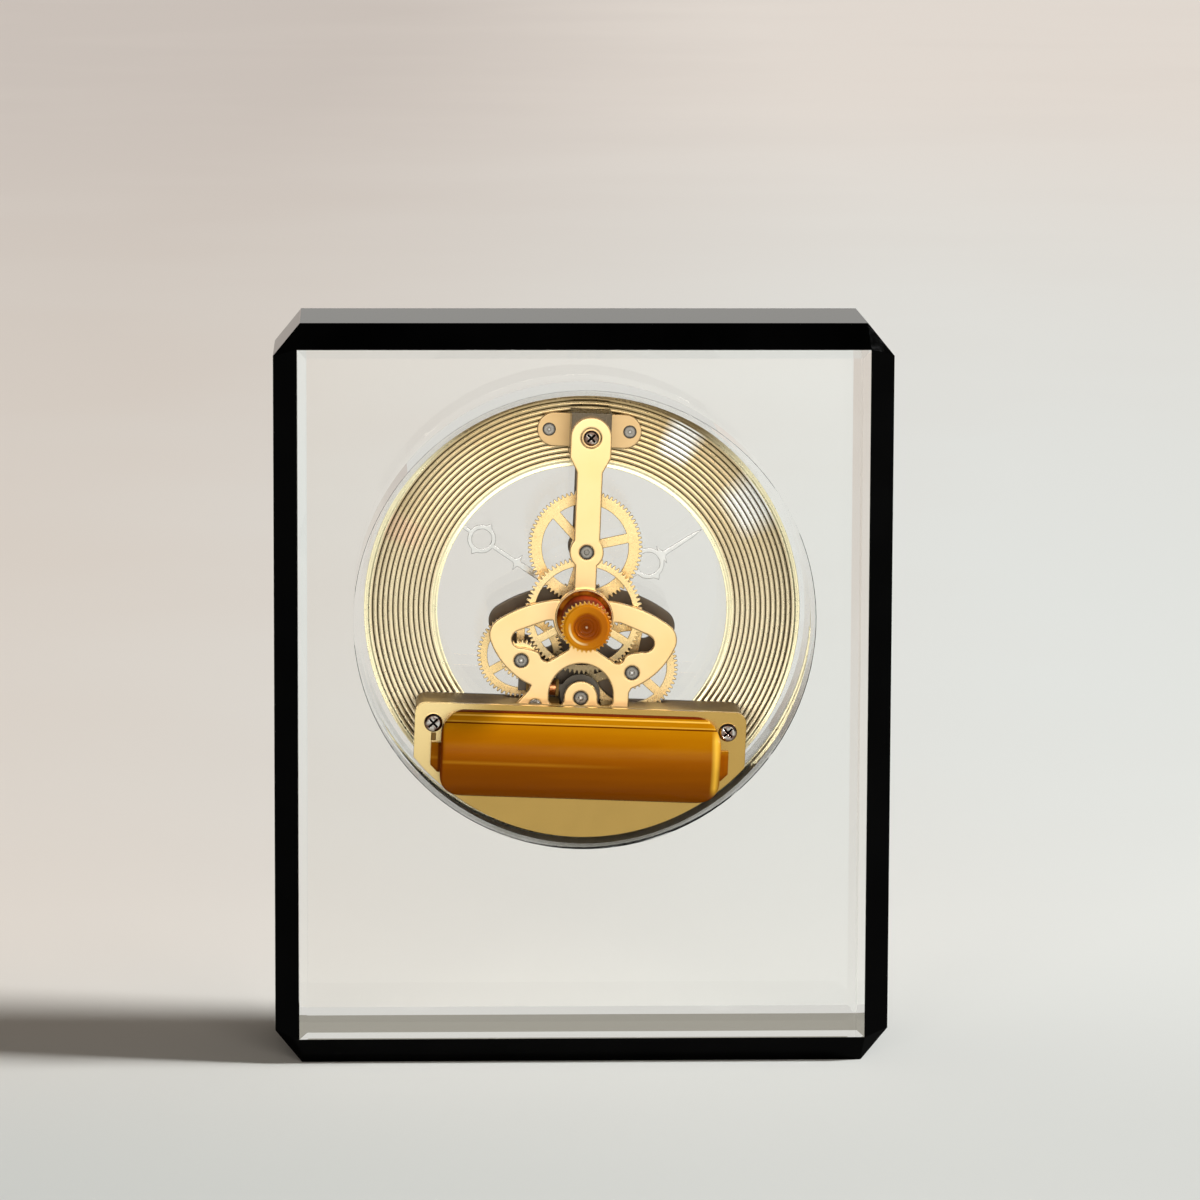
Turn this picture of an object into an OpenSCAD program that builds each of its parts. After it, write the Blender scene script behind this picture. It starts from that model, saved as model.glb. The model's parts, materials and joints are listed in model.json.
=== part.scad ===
// Crystal desk clock: a clear block in black bevelled bars, with a gold skeleton movement in its back.
// The dial faces -Y, the setting knob and the battery cover face +Y, and +Z is up.
// The origin is the centre of the face that the clock stands on.

/* [Case] */
// Width of the clear window between the black bars
window_w = 115; // [105:1:125]
// Height of the clear window between the black bars
window_h = 140.6; // [132:0.2:150]
// Depth of the clear block, front to back
block_d = 37.5; // [35:0.5:44]
// Width of the black bars at the sides
side_bar = 4.8; // [3:0.1:7]
// Height of the black bars at the top and bottom
end_bar = 5.1; // [3:0.1:7]
// How far the bars slope away from the front and the back
bar_slope = 2.5; // [1:0.1:4]
// Corner cut, measured across the clock
corner_w = 5.4; // [3:0.1:7]
// Corner cut, measured up the clock
corner_h = 6.6; // [4:0.1:8]
// Width of the polished edge of the clear block
edge_w = 1.6; // [0.6:0.1:2.5]
// Depth of the polished edge of the clear block
edge_d = 0.8; // [0.3:0.1:1.2]
// Air gap between the clear block and each bar
bar_gap = 0.1; // [0.05:0.05:0.2]

/* [Cavity] */
// Drop of the clock's axis below the top of the clear window
axis_drop = 54.7; // [50:0.1:60]
// Radius of the round cavity
cavity_r = 46.6; // [46.2:0.1:49]
// Depth of the cavity from the back face
cavity_d = 26; // [25.2:0.1:28]
// Wall of the clear sleeve in the cavity
sleeve_t = 1; // [0.6:0.1:1.2]
// Clearance between the sleeve and the cavity
sleeve_gap = 0.1; // [0.05:0.05:0.2]
// Turn of the whole movement in its cavity, clockwise seen from the back
movement_turn = 2.1; // [0:0.1:6]

/* [Dial] */
// Air gap between the dial ring and the sleeve
ring_clear = 1.1; // [0.5:0.1:1.5]
// Radius of the opening in the dial ring
ring_hole_r = 29.5; // [28.5:0.1:31]
// Thickness of the dial ring
ring_t = 1.5; // [1.2:0.1:1.7]
// Depth of the dial ring's back face below the block's back face
ring_depth = 16.3; // [16:0.1:16.8]
// Number of grooves on the back of the ring
groove_count = 12; // [6:1:14]
// Width of one groove
groove_w = 0.5; // [0.3:0.05:0.7]
// Depth of one groove
groove_d = 0.45; // [0.2:0.05:0.7]
// Height of the hour numerals
numeral_h = 8.4; // [6:0.1:9.5]
// Width of the heavy stroke of a numeral
numeral_stroke = 1.2; // [0.8:0.1:1.5]
// How far the numerals and the minute track stand off the ring
print_t = 0.25; // [0.1:0.05:0.4]

/* [Plates] */
// Thickness of the front and back plates
plate_t = 1; // [0.8:0.1:1.2]
// Depth of the back plate's outer face
back_plate_depth = 5.4; // [5:0.1:5.6]
// Drop of the arm's end hole below the middle of the bracket
arm_below = 0.4; // [0:0.1:1]
// Width of the arm
arm_w = 5.2; // [4:0.1:6]
// Radius of the arm's round head
arm_head_r = 4.15; // [3.6:0.05:4.6]
// Radius of the arm's swelling at the upper wheel
arm_swell_r = 3.45; // [3:0.05:4]
// Width of the bracket at the top of the front plate
bracket_w = 21.2; // [19:0.2:24]
// Height of the bracket at the top of the front plate
bracket_h = 6.9; // [6:0.1:7.6]
// Spacing of the two bracket rivets
rivet_spacing = 16.4; // [15.4:0.1:17]
// Side of the square post between the arms
post_w = 8.1; // [7:0.1:9]

/* [Wheels] */
// Tooth module of the train
gear_m = 0.3; // [0.3:0.005:0.305]
// Teeth of the centre wheel
centre_teeth = 78; // [76:1:80]
// Teeth of the upper wheel
upper_teeth = 76; // [72:1:78]
// Teeth of the right wheel
right_teeth = 63; // [60:1:65]
// Teeth of the left wheel
left_teeth = 57; // [52:1:59]
// Teeth of the right pinion
right_pinion_teeth = 22; // [20:1:23]
// Teeth of the left pinion
left_pinion_teeth = 25; // [23:1:26]
// Teeth of the rotor pinion
rotor_teeth = 14; // [12:1:15]
// Teeth of the drive pinion and of the cannon pinion
cannon_teeth = 12; // [11:1:13]
// Teeth of the motion wheel
motion_teeth = 36; // [34:1:38]
// Teeth of the motion pinion
motion_pinion_teeth = 10; // [9:1:11]
// Teeth of the hour wheel
hour_teeth = 40; // [38:1:42]
// Thickness of a wheel
wheel_t = 0.9; // [0.6:0.1:1]
// Share of the tooth pitch that the tooth fills
tooth_fill = 0.43; // [0.38:0.01:0.46]
// Radius of the thin arbors
arbor_r = 0.8; // [0.6:0.05:0.9]
// Radius of the pivots at the arbor ends
pivot_r = 0.5; // [0.4:0.05:0.6]
// Running clearance of every pivot, on the radius
running_gap = 0.05; // [0.02:0.01:0.08]
// Radius of the steel bushes in the plates
bush_r = 1.45; // [1.2:0.05:1.7]

/* [Knob] */
// Radius of the setting knob over its teeth
knob_r = 5.15; // [4.6:0.05:5.2]
// Air gap between the knob and the back plate
knob_gap = 1; // [0.6:0.1:2]
// How far the knob stands out behind the block
knob_out = 9; // [8:0.1:10]
// Number of ridges round the knob
knob_ridges = 35; // [28:1:40]
// Depth of the ridges
ridge_d = 0.45; // [0.3:0.05:0.6]
// Thickness of the knob's ridged rim
knob_rim_t = 1.3; // [0.8:0.1:2]
// Radius of the knob's dish
knob_dish_r = 3; // [2.4:0.1:3.4]

/* [Battery] */
// Radius of the battery cell
cell_r = 7.25; // [7:0.05:7.3]
// Length of the battery cell's body
cell_l = 49.2; // [48:0.1:49.6]
// Depth of the battery cell's axis
cell_depth = 3.4; // [3.2:0.1:3.8]
// Gap between the cell and the end of the cover, outside to outside
cover_over = 3.5; // [3:0.1:4]
// Gap between the cell and the round back of the cover
cover_gap = 1.05; // [0.9:0.05:1.4]
// Wall of the cover
cover_t = 1; // [0.8:0.1:1.1]
// Radius of the cover's corners
cover_corner = 5; // [3:0.1:6]
// Width of the base plate beyond each end of the cover
base_side = 5.35; // [5:0.05:6]
// Width of the base plate above the cover
base_above = 1.1; // [0.8:0.05:1.5]
// Drop of the base plate's top edge below the rotor
base_below = 1.15; // [1:0.05:1.4]
// Air gap between the base plate's round lower edge and the sleeve
base_clear = 1.3; // [1:0.1:1.6]
// Thickness of the base plate
base_t = 1; // [0.8:0.1:1.2]
// Depth of the base plate's outer face
base_depth = 0.5; // [0.2:0.1:0.8]

/* [Hands] */
// Length of the minute hand from the axis
minute_l = 40; // [36:0.5:41]
// Length of the hour hand from the axis
hour_l = 29.2; // [26:0.2:30]
// Thickness of a hand
hand_t = 0.5; // [0.3:0.05:0.6]
// Minutes shown
show_minutes = 9.7; // [0:0.1:59.9]
// Hours shown
show_hours = 10; // [0:1:11]

/* [Hidden] */
$fn = 96;

// A small step that carries a cut past a face
eps = 0.5;
case_w = window_w + 2 * side_bar;
case_h = window_h + 2 * end_bar;
back_y = block_d / 2;
// Half depth of the bars at the window and at their outside
bar_inner_y = back_y - edge_d;
bar_y = bar_inner_y - bar_slope;
corner_set = 0.05;
// Place of the axis in the block
axis_x = -0.2;
axis_z = end_bar + window_h - axis_drop;

// Places of the arbors on the back plate, seen from the back, from the tooth counts
drive_dist = (cannon_teeth + upper_teeth) * gear_m / 2;
left_dist = (centre_teeth + left_pinion_teeth) * gear_m / 2;
right_dist = (centre_teeth + right_pinion_teeth) * gear_m / 2;
rotor_dist = (right_teeth + rotor_teeth) * gear_m / 2;
left_angle = 217;
right_angle = 312.6;
upper_at = [0, drive_dist];
left_at = left_dist * [cos(left_angle), sin(left_angle)];
right_at = right_dist * [cos(right_angle), sin(right_angle)];
// The rotor lies on the vertical line below the axis
rotor_at = [0, right_at[1] - sqrt(pow(rotor_dist, 2) - pow(right_at[0], 2))];
rotor_angle = atan2(rotor_at[1] - right_at[1], rotor_at[0] - right_at[0]);
motion_dist = (cannon_teeth + motion_teeth) * gear_m / 2;
motion_m = 2 * motion_dist / (motion_pinion_teeth + hour_teeth);
motion_angle = 270;
motion_at = motion_dist * [cos(motion_angle), sin(motion_angle)];

// Sizes that follow the cavity and the battery cell
ring_r = cavity_r - sleeve_gap - sleeve_t - ring_clear;
base_r = cavity_r - sleeve_gap - sleeve_t - base_clear;
cover_l = cell_l + 2 * cover_over;
cover_r = cell_r + cover_gap + cover_t;
cover_h = 2 * cover_r - 0.9;
base_w = cover_l + 2 * base_side;
// The base plate starts just below the rotor, and the battery lies under it
base_top = base_below - rotor_at[1];
cell_drop = base_top + base_above + cover_h / 2;

// Depths of the layers below the block's back face
front_plate_depth = ring_depth - plate_t;
dial_depth = ring_depth + ring_t;
centre_depth = back_plate_depth + plate_t + 0.9;
train_depth = 13;
pinion_over = 0.35;
cannon_depth = ring_depth + 0.5;
motion_depth = cannon_depth + 0.3;
hour_depth = motion_depth + wheel_t + 0.6;
hour_hand_depth = hour_depth + wheel_t + 1.1;
minute_hand_depth = hour_hand_depth + hand_t + 1.1;
minute_arbor_r = 0.9;
pipe_r = 1.45;
cap_end = minute_hand_depth + hand_t + 0.8;
end_play = 0.1;

// Outline values of the plates
shoulder_c = [2.6, -22.2];
shoulder_r = 25.7;
lobe_c = [15.3, -4.2];
lobe_r = shoulder_r - norm(lobe_c - shoulder_c);
lobe_from = atan2(lobe_c[1] - shoulder_c[1], lobe_c[0] - shoulder_c[0]);
belly_c = [4, 0.3];
belly_r = lobe_r + norm(lobe_c - belly_c);
belly_from = atan2(lobe_c[1] - belly_c[1], lobe_c[0] - belly_c[0]);
belly_to = -67;
// The front plate's fan stands this much higher than the back plate's
front_lift = 1.4;
collar_r = knob_r + 0.75;
collar_t = 0.4;
collar_h = 1.1;
knob_l = knob_out + back_plate_depth - knob_gap;
knob_dish_d = 0.7;
foot_end = base_top + 2.3;
arch_r = 6.5;
boss_r = 3.4;
arch_drop = 16;

// Housing and bay
housing_gap = 0.3;
bay_l = cell_l + 3.4;
bay_r = cell_r + 0.2;
cover_drop = cell_drop;
cover_foot = base_depth + base_t - end_play;
cover_step = 0.8;
cover_foot_t = 0.8;
foot_play = 0.2;
tab_v = 2.05 - cell_drop;
tab_l = 1.9;
tab_h = 6;
tab_t = 1.1;
tab_cut = 1.4;
pocket_depth = cell_depth + bay_r + 0.75;
screw_at = [cover_l / 2 + 1.6, -base_top - 4];
screw_r = 1.85;
arm_screw_r = 1.6;
sink_gap = 0.45;
sink_d = 0.5;
screw_head = 1;
screw_shank_r = 1;
screw_l = 6;
base_corner = 2;
foot_left = 13;
leg_u = 9.7;
foot_pin_at = [-9.2, -base_top - 0.6];
foot_pin_r = 1.2;
foot_pin_head = 0.2;
arm_foot = 4.4;
arch_leg = foot_end - arch_drop - 1.6;
centre_bush_r = 1.9;
motion_post_r = 1.3;

// Ring, bracket and post
ring_border = 1.2;
seat_w = 0.9;
sleeve_in = 0.4;
ring_middle = (ring_r + ring_hole_r) / 2;
numeral_at = ring_middle - 0.55;
track_in = 2.4;
track_r = ring_r - track_in;
track_w = 1.1;
track_line = 0.22;
bracket_at = ring_middle - 0.15;
arm_top = bracket_at - arm_below;
rivet_r = 1.1;
post_foot = bracket_at - 3.6;
post_h = 8.1;

// Bay fittings, board and motor
nub_r = 2.75;
nub_l = 1;
contact_t = 0.5;
contact_w = 10;
contact_top = base_depth + base_t + 0.1;
board_t = 0.8;
board_w = 20;
board_h = 11;
board_at = [-15, -cell_drop - 2.35];
pocket_w = board_w + 0.6;
pocket_h = board_h + 0.6;
can_r = 1;
can_l = 6;
slot_depth = train_depth - pinion_over - 0.3;
rotor_slot_depth = back_plate_depth + plate_t;
stator_r = 4.1;
magnet_r = 2.4;
core_depth = 10.2;
core_t = 0.8;
core_w = 1.5;
core_left = -12.6;
coil_gap = 0.8;
coil_r = 1.8;
coil_v = coil_r + coil_gap - base_top - housing_gap;
core_rise = 5;
core_top = coil_v + core_rise;
coil_l = 6.6;
coil_from = core_left + core_w + 0.1;
flange_t = 0.6;

// Move from seen-from-the-back coordinates on the axis to the clock's own frame
module on_axis() {
    translate([axis_x, back_y, axis_z])
        rotate([90, 0, 180])
            rotate([0, 0, -movement_turn])
                children();
}

// A layer of the movement, from one depth to a greater one, with each child extruded on its own
module layer(depth, thick) {
    for (k = [0:$children - 1])
        translate([0, 0, -depth - thick])
            linear_extrude(thick)
                children(k);
}

module pin(at, r, depth, thick) {
    translate([at[0], at[1], -depth - thick])
        cylinder(r = r, h = thick);
}

// Everything on the far side of a plane through a point, as a big block
module beyond(point, normal, size = 400) {
    n = normal / norm(normal);
    translate(point)
        rotate([0, acos(n[2]), atan2(n[1], n[0])])
            translate([-size / 2, -size / 2, 0])
                cube(size);
}

function arc(c, r, from, to, steps = 12) =
    [for (k = [0:steps]) c + r * [cos(from + (to - from) * k / steps), sin(from + (to - from) * k / steps)]];

function mirrored(points) = [for (k = [len(points) - 1:-1:0]) [-points[k][0], points[k][1]]];

// Involute teeth at a 20 degree pressure angle, as one outline
pressure = 20;
function roll(rb, r) = r <= rb ? 0 : (sqrt(pow(r / rb, 2) - 1) * 180 / PI - acos(rb / r));
function gear_outline(n, m, add, ded, phase, steps = 4) =
    let (rp = n * m / 2, rb = rp * cos(pressure), ra = rp + add * m, rr = rp - ded * m)
    let (half = tooth_fill * 180 / n + roll(rb, rp))
    [for (i = [0:n - 1], s = [-1, 1], k = [0:steps])
        let (t = s < 0 ? k / steps : 1 - k / steps, r = rr + (ra - rr) * t)
        let (a = phase + i * 360 / n + s * (half - roll(rb, r)))
        [r * cos(a), r * sin(a)]];

// Phase of gear B that meshes with gear A, where B lies at an angle from A
function mesh_phase(angle, n_a, phase_a, n_b) =
    angle + 180 - 180 / n_b + (angle - phase_a) * n_a / n_b;

wheel_add = 0.7;
wheel_ded = 1.5;
pinion_add = 0.9;
pinion_ded = 1.15;
centre_add = 0.95;

centre_phase = 0;
cannon_phase = 0;
upper_phase = mesh_phase(90, cannon_teeth, cannon_phase, upper_teeth);
left_phase = mesh_phase(left_angle, centre_teeth, centre_phase, left_pinion_teeth);
right_phase = mesh_phase(right_angle, centre_teeth, centre_phase, right_pinion_teeth);
rotor_phase = mesh_phase(rotor_angle, right_teeth, right_phase, rotor_teeth);
motion_phase = mesh_phase(motion_angle, cannon_teeth, cannon_phase, motion_teeth);
hour_phase = mesh_phase(motion_angle + 180, motion_pinion_teeth, motion_phase, hour_teeth);

module pinion_2d(n, m, phase, hole) {
    difference() {
        polygon(gear_outline(n, m, pinion_add, pinion_ded, phase));
        circle(r = hole, $fn = 48);
    }
}

// A toothed wheel crossed out to a rim, a hub and spokes
module wheel_2d(n, m, add, phase, rim_r, hub_r, spoke_w, spoke_from, hole, spokes = 3) {
    difference() {
        polygon(gear_outline(n, m, add, wheel_ded, phase, 3));
        difference() {
            circle(r = rim_r);
            circle(r = hub_r, $fn = 48);
            for (k = [0:spokes - 1])
                rotate(spoke_from + k * 360 / spokes)
                    translate([0, -spoke_w / 2])
                        square([rim_r + 1, spoke_w]);
        }
        circle(r = hole, $fn = 48);
    }
}

// The four corner cuts of the case, each with its small sloped triangle at front and back
// The triangles start just inside the bars' edges, so that no four faces meet at one point
module corner_cuts() {
    for (sx = [-1, 1], sz = [-1, 1]) {
        top = [sx * (case_w / 2 - corner_w), sz * case_h / 2];
        side = [sx * case_w / 2, sz * (case_h / 2 - corner_h)];
        inside = [sx * window_w / 2, sz * window_h / 2];
        away = [sx * corner_h, sz * corner_w] / norm([corner_w, corner_h]);
        middle = (top + side) / 2;
        // The triangle stops a little short of the window's corner
        reach = (top - inside) * away * 0.98;
        beyond([middle[0], 0, case_h / 2 + middle[1]], [away[0], 0, away[1]]);
        for (sy = [-1, 1])
            beyond([middle[0], sy * (bar_y - corner_set), case_h / 2 + middle[1]],
                [away[0] * bar_slope, sy * reach, away[1] * bar_slope]);
    }
}

// Cut a bar at the two mitres that run out from the window's corners
module mitred(corners, toward) {
    difference() {
        children();
        for (c = corners)
            beyond([c[0] * window_w / 2, 0, case_h / 2 + c[1] * window_h / 2],
                [toward * c[0] * end_bar, 0, -toward * c[1] * side_bar]);
        corner_cuts();
    }
}

module end_bar_piece(sz) {
    inner = case_h / 2 + sz * window_h / 2;
    outer = case_h / 2 + sz * case_h / 2;
    color("#0a0a0a")
        mitred([[-1, sz], [1, sz]], 1)
            translate([-case_w / 2, 0, 0])
                rotate([90, 0, 90])
                    linear_extrude(case_w)
                        polygon([[-bar_inner_y, inner], [-bar_y, outer], [bar_y, outer], [bar_inner_y, inner]]);
}

module side_bar_piece(sx) {
    inner = sx * window_w / 2;
    outer = sx * case_w / 2;
    color("#0a0a0a")
        mitred([[sx, -1], [sx, 1]], -1)
            linear_extrude(case_h)
                polygon([[inner, -bar_inner_y], [outer, -bar_y], [outer, bar_y], [inner, bar_inner_y]]);
}

// Clear block with polished edges, and the cavity bored from the back
module crystal_block() {
    w = window_w - 2 * bar_gap;
    h = window_h - 2 * bar_gap;
    color("#dfe8e8", 0.35)
        difference() {
            translate([-w / 2, -back_y, end_bar + bar_gap])
                cube([w, block_d, h]);
            for (sy = [-1, 1], s = [-1, 1]) {
                beyond([s * w / 2, sy * (back_y - edge_d), 0], [s * edge_d, sy * edge_w, 0]);
                beyond([0, sy * (back_y - edge_d), case_h / 2 + s * h / 2], [0, sy * edge_w, s * edge_d]);
            }
            on_axis()
                translate([0, 0, -cavity_d])
                    cylinder(r = cavity_r, h = cavity_d + eps, $fn = 200);
        }
}

// Clear sleeve in the cavity, with the shoulder that the dial ring seats on
module clear_sleeve() {
    outer = cavity_r - sleeve_gap;
    inner = outer - sleeve_t;
    color("#e6ecec", 0.3)
        on_axis()
            translate([0, 0, -cavity_d])
                rotate_extrude($fn = 200)
                    polygon([[ring_r - seat_w, 0], [outer, 0], [outer, cavity_d - sleeve_in],
                        [inner, cavity_d - sleeve_in], [inner, cavity_d - dial_depth],
                        [ring_r - seat_w, cavity_d - dial_depth]]);
}

// Gold ring with concentric grooves on its back
module dial_ring() {
    pitch = (ring_r - ring_hole_r - 2 * ring_border) / groove_count;
    color("#e8c97a")
        on_axis()
            difference() {
                layer(ring_depth, ring_t)
                    difference() {
                        circle(r = ring_r, $fn = 200);
                        circle(r = ring_hole_r, $fn = 200);
                    }
                for (k = [0:groove_count - 1]) {
                    middle = ring_hole_r + ring_border + (k + 0.5) * pitch;
                    layer(ring_depth - eps, groove_d + eps)
                        difference() {
                            circle(r = middle + groove_w / 2, $fn = 160);
                            circle(r = middle - groove_w / 2, $fn = 160);
                        }
                }
            }
}

// Move to the dial's front, seen from the front
module on_dial() {
    on_axis()
        translate([0, 0, -dial_depth])
            rotate([0, 180, 0])
                children();
}

// Strokes of the numerals: an upright, a V and an X, each in a box as wide as its share
numeral_thin = numeral_stroke * 0.4;
function stroke_box(c) = c == "I" ? numeral_stroke * 1.5 : numeral_h * 0.52;
function run_width(word, count) = count == 0 ? 0 : stroke_box(word[count - 1]) + run_width(word, count - 1);

module printed() {
    linear_extrude(print_t)
        children();
}

module leaning_stroke(w, thick, side) {
    printed()
        polygon([[side * w / 2 - thick / 2, numeral_h / 2], [side * w / 2 + thick / 2, numeral_h / 2],
            [-side * w / 2 + thick / 2, -numeral_h / 2], [-side * w / 2 - thick / 2, -numeral_h / 2]]);
}

module numeral_letter(c) {
    w = numeral_h * 0.36;
    if (c == "I")
        printed()
            square([numeral_stroke, numeral_h], center = true);
    if (c == "X") {
        leaning_stroke(w, numeral_stroke, -1);
        leaning_stroke(w, numeral_thin, 1);
    }
    if (c == "V")
        printed()
            polygon([[-w / 2 - numeral_stroke / 2, numeral_h / 2], [-w / 2 + numeral_stroke / 2, numeral_h / 2],
                [0.1, -numeral_h / 2 + 2.4], [w / 2 - numeral_thin / 2, numeral_h / 2],
                [w / 2 + numeral_thin / 2, numeral_h / 2], [numeral_thin, -numeral_h / 2],
                [-numeral_thin, -numeral_h / 2]]);
}

module numeral(word) {
    total = run_width(word, len(word));
    for (k = [0:len(word) - 1])
        translate([run_width(word, k) + stroke_box(word[k]) / 2 - total / 2, 0, 0])
            numeral_letter(word[k]);
    for (s = [-1, 1])
        printed()
            translate([-total / 2, s * (numeral_h - numeral_thin) / 2 - numeral_thin / 2])
                square([total, numeral_thin]);
}

module hour_numerals() {
    words = ["XII", "I", "II", "III", "IIII", "V", "VI", "VII", "VIII", "IX", "X", "XI"];
    color("#1a1410")
        on_dial()
            for (h = [0:11])
                rotate([0, 0, -h * 30])
                    translate([0, numeral_at, 0])
                        numeral(words[h]);
}

// Minute track: two thin rings joined by sixty marks
module minute_track() {
    color("#1a1410")
        on_dial()
            linear_extrude(print_t)
                union() {
                    for (r = [track_r, track_r + track_w])
                        difference() {
                            circle(r = r + track_line / 2, $fn = 160);
                            circle(r = r - track_line / 2, $fn = 160);
                        }
                    for (k = [0:59])
                        rotate(k * 6)
                            translate([track_r, -(k % 5 == 0 ? track_line * 1.6 : track_line / 2)])
                                square([track_w, k % 5 == 0 ? track_line * 3.2 : track_line]);
                }
}

// One side of the fan-shaped plate, from the shoulder round the lobe to the leg
fan_side = concat(
    arc(shoulder_c, shoulder_r, 84, lobe_from, 10),
    arc(lobe_c, lobe_r, lobe_from, belly_from, 14),
    arc(belly_c, belly_r, belly_from, belly_to, 10),
    [[leg_u, -15.2], [leg_u, -foot_end]]);

// Window beside the knob, with a lobe at each end
window_side = concat(
    [[4.4, -0.8], [7.4, -0.95], [9.9, -1.9]],
    arc([12.55, -4.95], 1.85, 72, -105, 10),
    [[10.4, -7.05], [9, -7.5]],
    arc([7.15, -8.05], 1.3, -5, -128, 8),
    [[2.9, -6.85], [2.2, -5]]);

// The fan, raised by a lift, with its long arm, as a layer
module fan(depth, lift = 0) {
    layer(depth, plate_t) {
        translate([0, lift])
            polygon(concat(fan_side, mirrored(fan_side)));
        circle(r = collar_r);
        polygon([[-arm_foot / 2, 2], [arm_foot / 2, 2], [arm_foot / 2, 11], [arm_w / 2, 16],
            [arm_w / 2, arm_top - 7], [arm_head_r, arm_top - 4], [arm_head_r, arm_top],
            [-arm_head_r, arm_top], [-arm_head_r, arm_top - 4], [-arm_w / 2, arm_top - 7],
            [-arm_w / 2, 16], [-arm_foot / 2, 11]]);
        translate([0, arm_top])
            circle(r = arm_head_r);
        translate(upper_at)
            circle(r = arm_swell_r);
    }
}

// The two windows beside the knob, cut through a fan
module fan_windows(depth, lift = 0) {
    difference() {
        layer(depth - eps, plate_t + 2 * eps)
            translate([0, lift]) {
                polygon(window_side);
                polygon(mirrored(window_side));
            }
        pin([0, 0], collar_r + 0.4, depth - 2 * eps, plate_t + 4 * eps);
    }
}

// The arch round the rotor's boss, open to left and right of the boss
module arch(depth) {
    leg_w = arch_r - boss_r;
    difference() {
        union() {
            intersection() {
                pin([0, -arch_drop], arch_r, depth - eps, plate_t + 2 * eps);
                layer(depth - eps, plate_t + 2 * eps)
                    translate([-arch_r - 1, -arch_drop])
                        square([2 * arch_r + 2, arch_r + 1]);
            }
            for (s = [-1, 1]) {
                layer(depth - eps, plate_t + 2 * eps)
                    translate([s * (boss_r + leg_w / 2) - leg_w / 2, -arch_drop - arch_leg + leg_w / 2])
                        square([leg_w, arch_leg - leg_w / 2 + 0.1]);
                pin([s * (boss_r + leg_w / 2), -arch_drop - arch_leg + leg_w / 2], leg_w / 2,
                    depth - eps, plate_t + 2 * eps);
            }
        }
        pin(rotor_at, boss_r, depth - 2 * eps, plate_t + 4 * eps);
    }
}

module bush_seats(depth) {
    for (at = [upper_at, left_at, right_at, rotor_at])
        pin(at, bush_r, depth - eps, plate_t + 2 * eps);
    pin([0, 0], centre_bush_r, depth - eps, plate_t + 2 * eps);
}

// Back plate, with the long arm, and with feet that sit in the housing's notch
module back_plate() {
    color("#f0d48a")
        on_axis()
            difference() {
                union() {
                    fan(back_plate_depth);
                    layer(back_plate_depth, plate_t)
                        polygon([[-leg_u - 0.6, -14.4], [-leg_u - 0.9, -15.3], [-foot_left, -18.2],
                            [-foot_left, -foot_end], [-leg_u + 2, -foot_end], [-leg_u + 2, -14.4]]);
                }
                fan_windows(back_plate_depth);
                arch(back_plate_depth);
                bush_seats(back_plate_depth);
                pin([0, arm_top], screw_shank_r + 0.2, back_plate_depth - eps, plate_t + 2 * eps);
                pin([0, arm_top], arm_screw_r + sink_gap, back_plate_depth - eps, sink_d + eps);
                pin(foot_pin_at, foot_pin_r, back_plate_depth - eps, plate_t + 2 * eps);
            }
}

// Segment shape shared by the base plate, the housing and the front plate
module base_segment(depth, thick, inset, corner) {
    half = base_w / 2 - inset;
    intersection() {
        pin([0, 0], base_r - inset, depth, thick);
        union() {
            layer(depth, thick) {
                translate([-half, -base_r - 1])
                    square([2 * half, base_r + 1 - base_top - inset - corner]);
                translate([-half + corner, -base_r - 1])
                    square([2 * (half - corner), base_r + 1 - base_top - inset]);
            }
            for (s = [-1, 1])
                pin([s * (half - corner), -base_top - inset - corner], corner, depth, thick);
        }
    }
}

// Front plate: the same fan and arm, the bracket across the ring, and the segment under the housing
module front_plate() {
    end_u = (bracket_w - bracket_h) / 2;
    color("#e2c274")
        on_axis()
            difference() {
                union() {
                    fan(front_plate_depth, front_lift);
                    base_segment(front_plate_depth, plate_t, housing_gap, base_corner);
                    layer(front_plate_depth, plate_t)
                        translate([-end_u, bracket_at - bracket_h / 2])
                            square([2 * end_u, bracket_h]);
                    for (s = [-1, 1])
                        pin([s * end_u, bracket_at], bracket_h / 2, front_plate_depth, plate_t);
                }
                fan_windows(front_plate_depth, front_lift);
                bush_seats(front_plate_depth);
                pin(motion_at, motion_post_r, front_plate_depth - eps, plate_t + 2 * eps);
                for (s = [-1, 1])
                    pin([s * rivet_spacing / 2, bracket_at], rivet_r, front_plate_depth - eps, plate_t + 2 * eps);
            }
}

// Square post between the front plate's bracket and the arm's head
module post_block() {
    color("#3a342c")
        on_axis()
            difference() {
                layer(back_plate_depth + plate_t, front_plate_depth - back_plate_depth - plate_t)
                    translate([-post_w / 2, post_foot])
                        square([post_w, post_h]);
                pin([0, arm_top], screw_shank_r, back_plate_depth, screw_l);
            }
}

// Rivets that hold the bracket on the ring
module bracket_rivets() {
    color("#8d8a86")
        on_axis()
            for (s = [-1, 1]) {
                pin([s * rivet_spacing / 2, bracket_at], rivet_r - 0.02, front_plate_depth, plate_t);
                pin([s * rivet_spacing / 2, bracket_at], rivet_r + 0.25, front_plate_depth - 0.25, 0.25);
            }
}

// Round-headed screw with a cross recess, its head's underside at a depth
module cross_screw(at, depth, length, head_r) {
    slot = 0.42;
    color("#c9c7c4")
        translate([at[0], at[1], -depth])
            difference() {
                union() {
                    cylinder(r = head_r, h = screw_head - 0.35);
                    translate([0, 0, screw_head - 0.35])
                        cylinder(r1 = head_r, r2 = head_r * 0.72, h = 0.35);
                    translate([0, 0, -length])
                        cylinder(r = screw_shank_r - 0.02, h = length + 0.1, $fn = 48);
                }
                for (a = [45, 135])
                    rotate(a)
                        translate([-head_r * 0.66, -slot / 2, screw_head - 0.6])
                            cube([head_r * 1.32, slot, 1]);
            }
}

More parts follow.
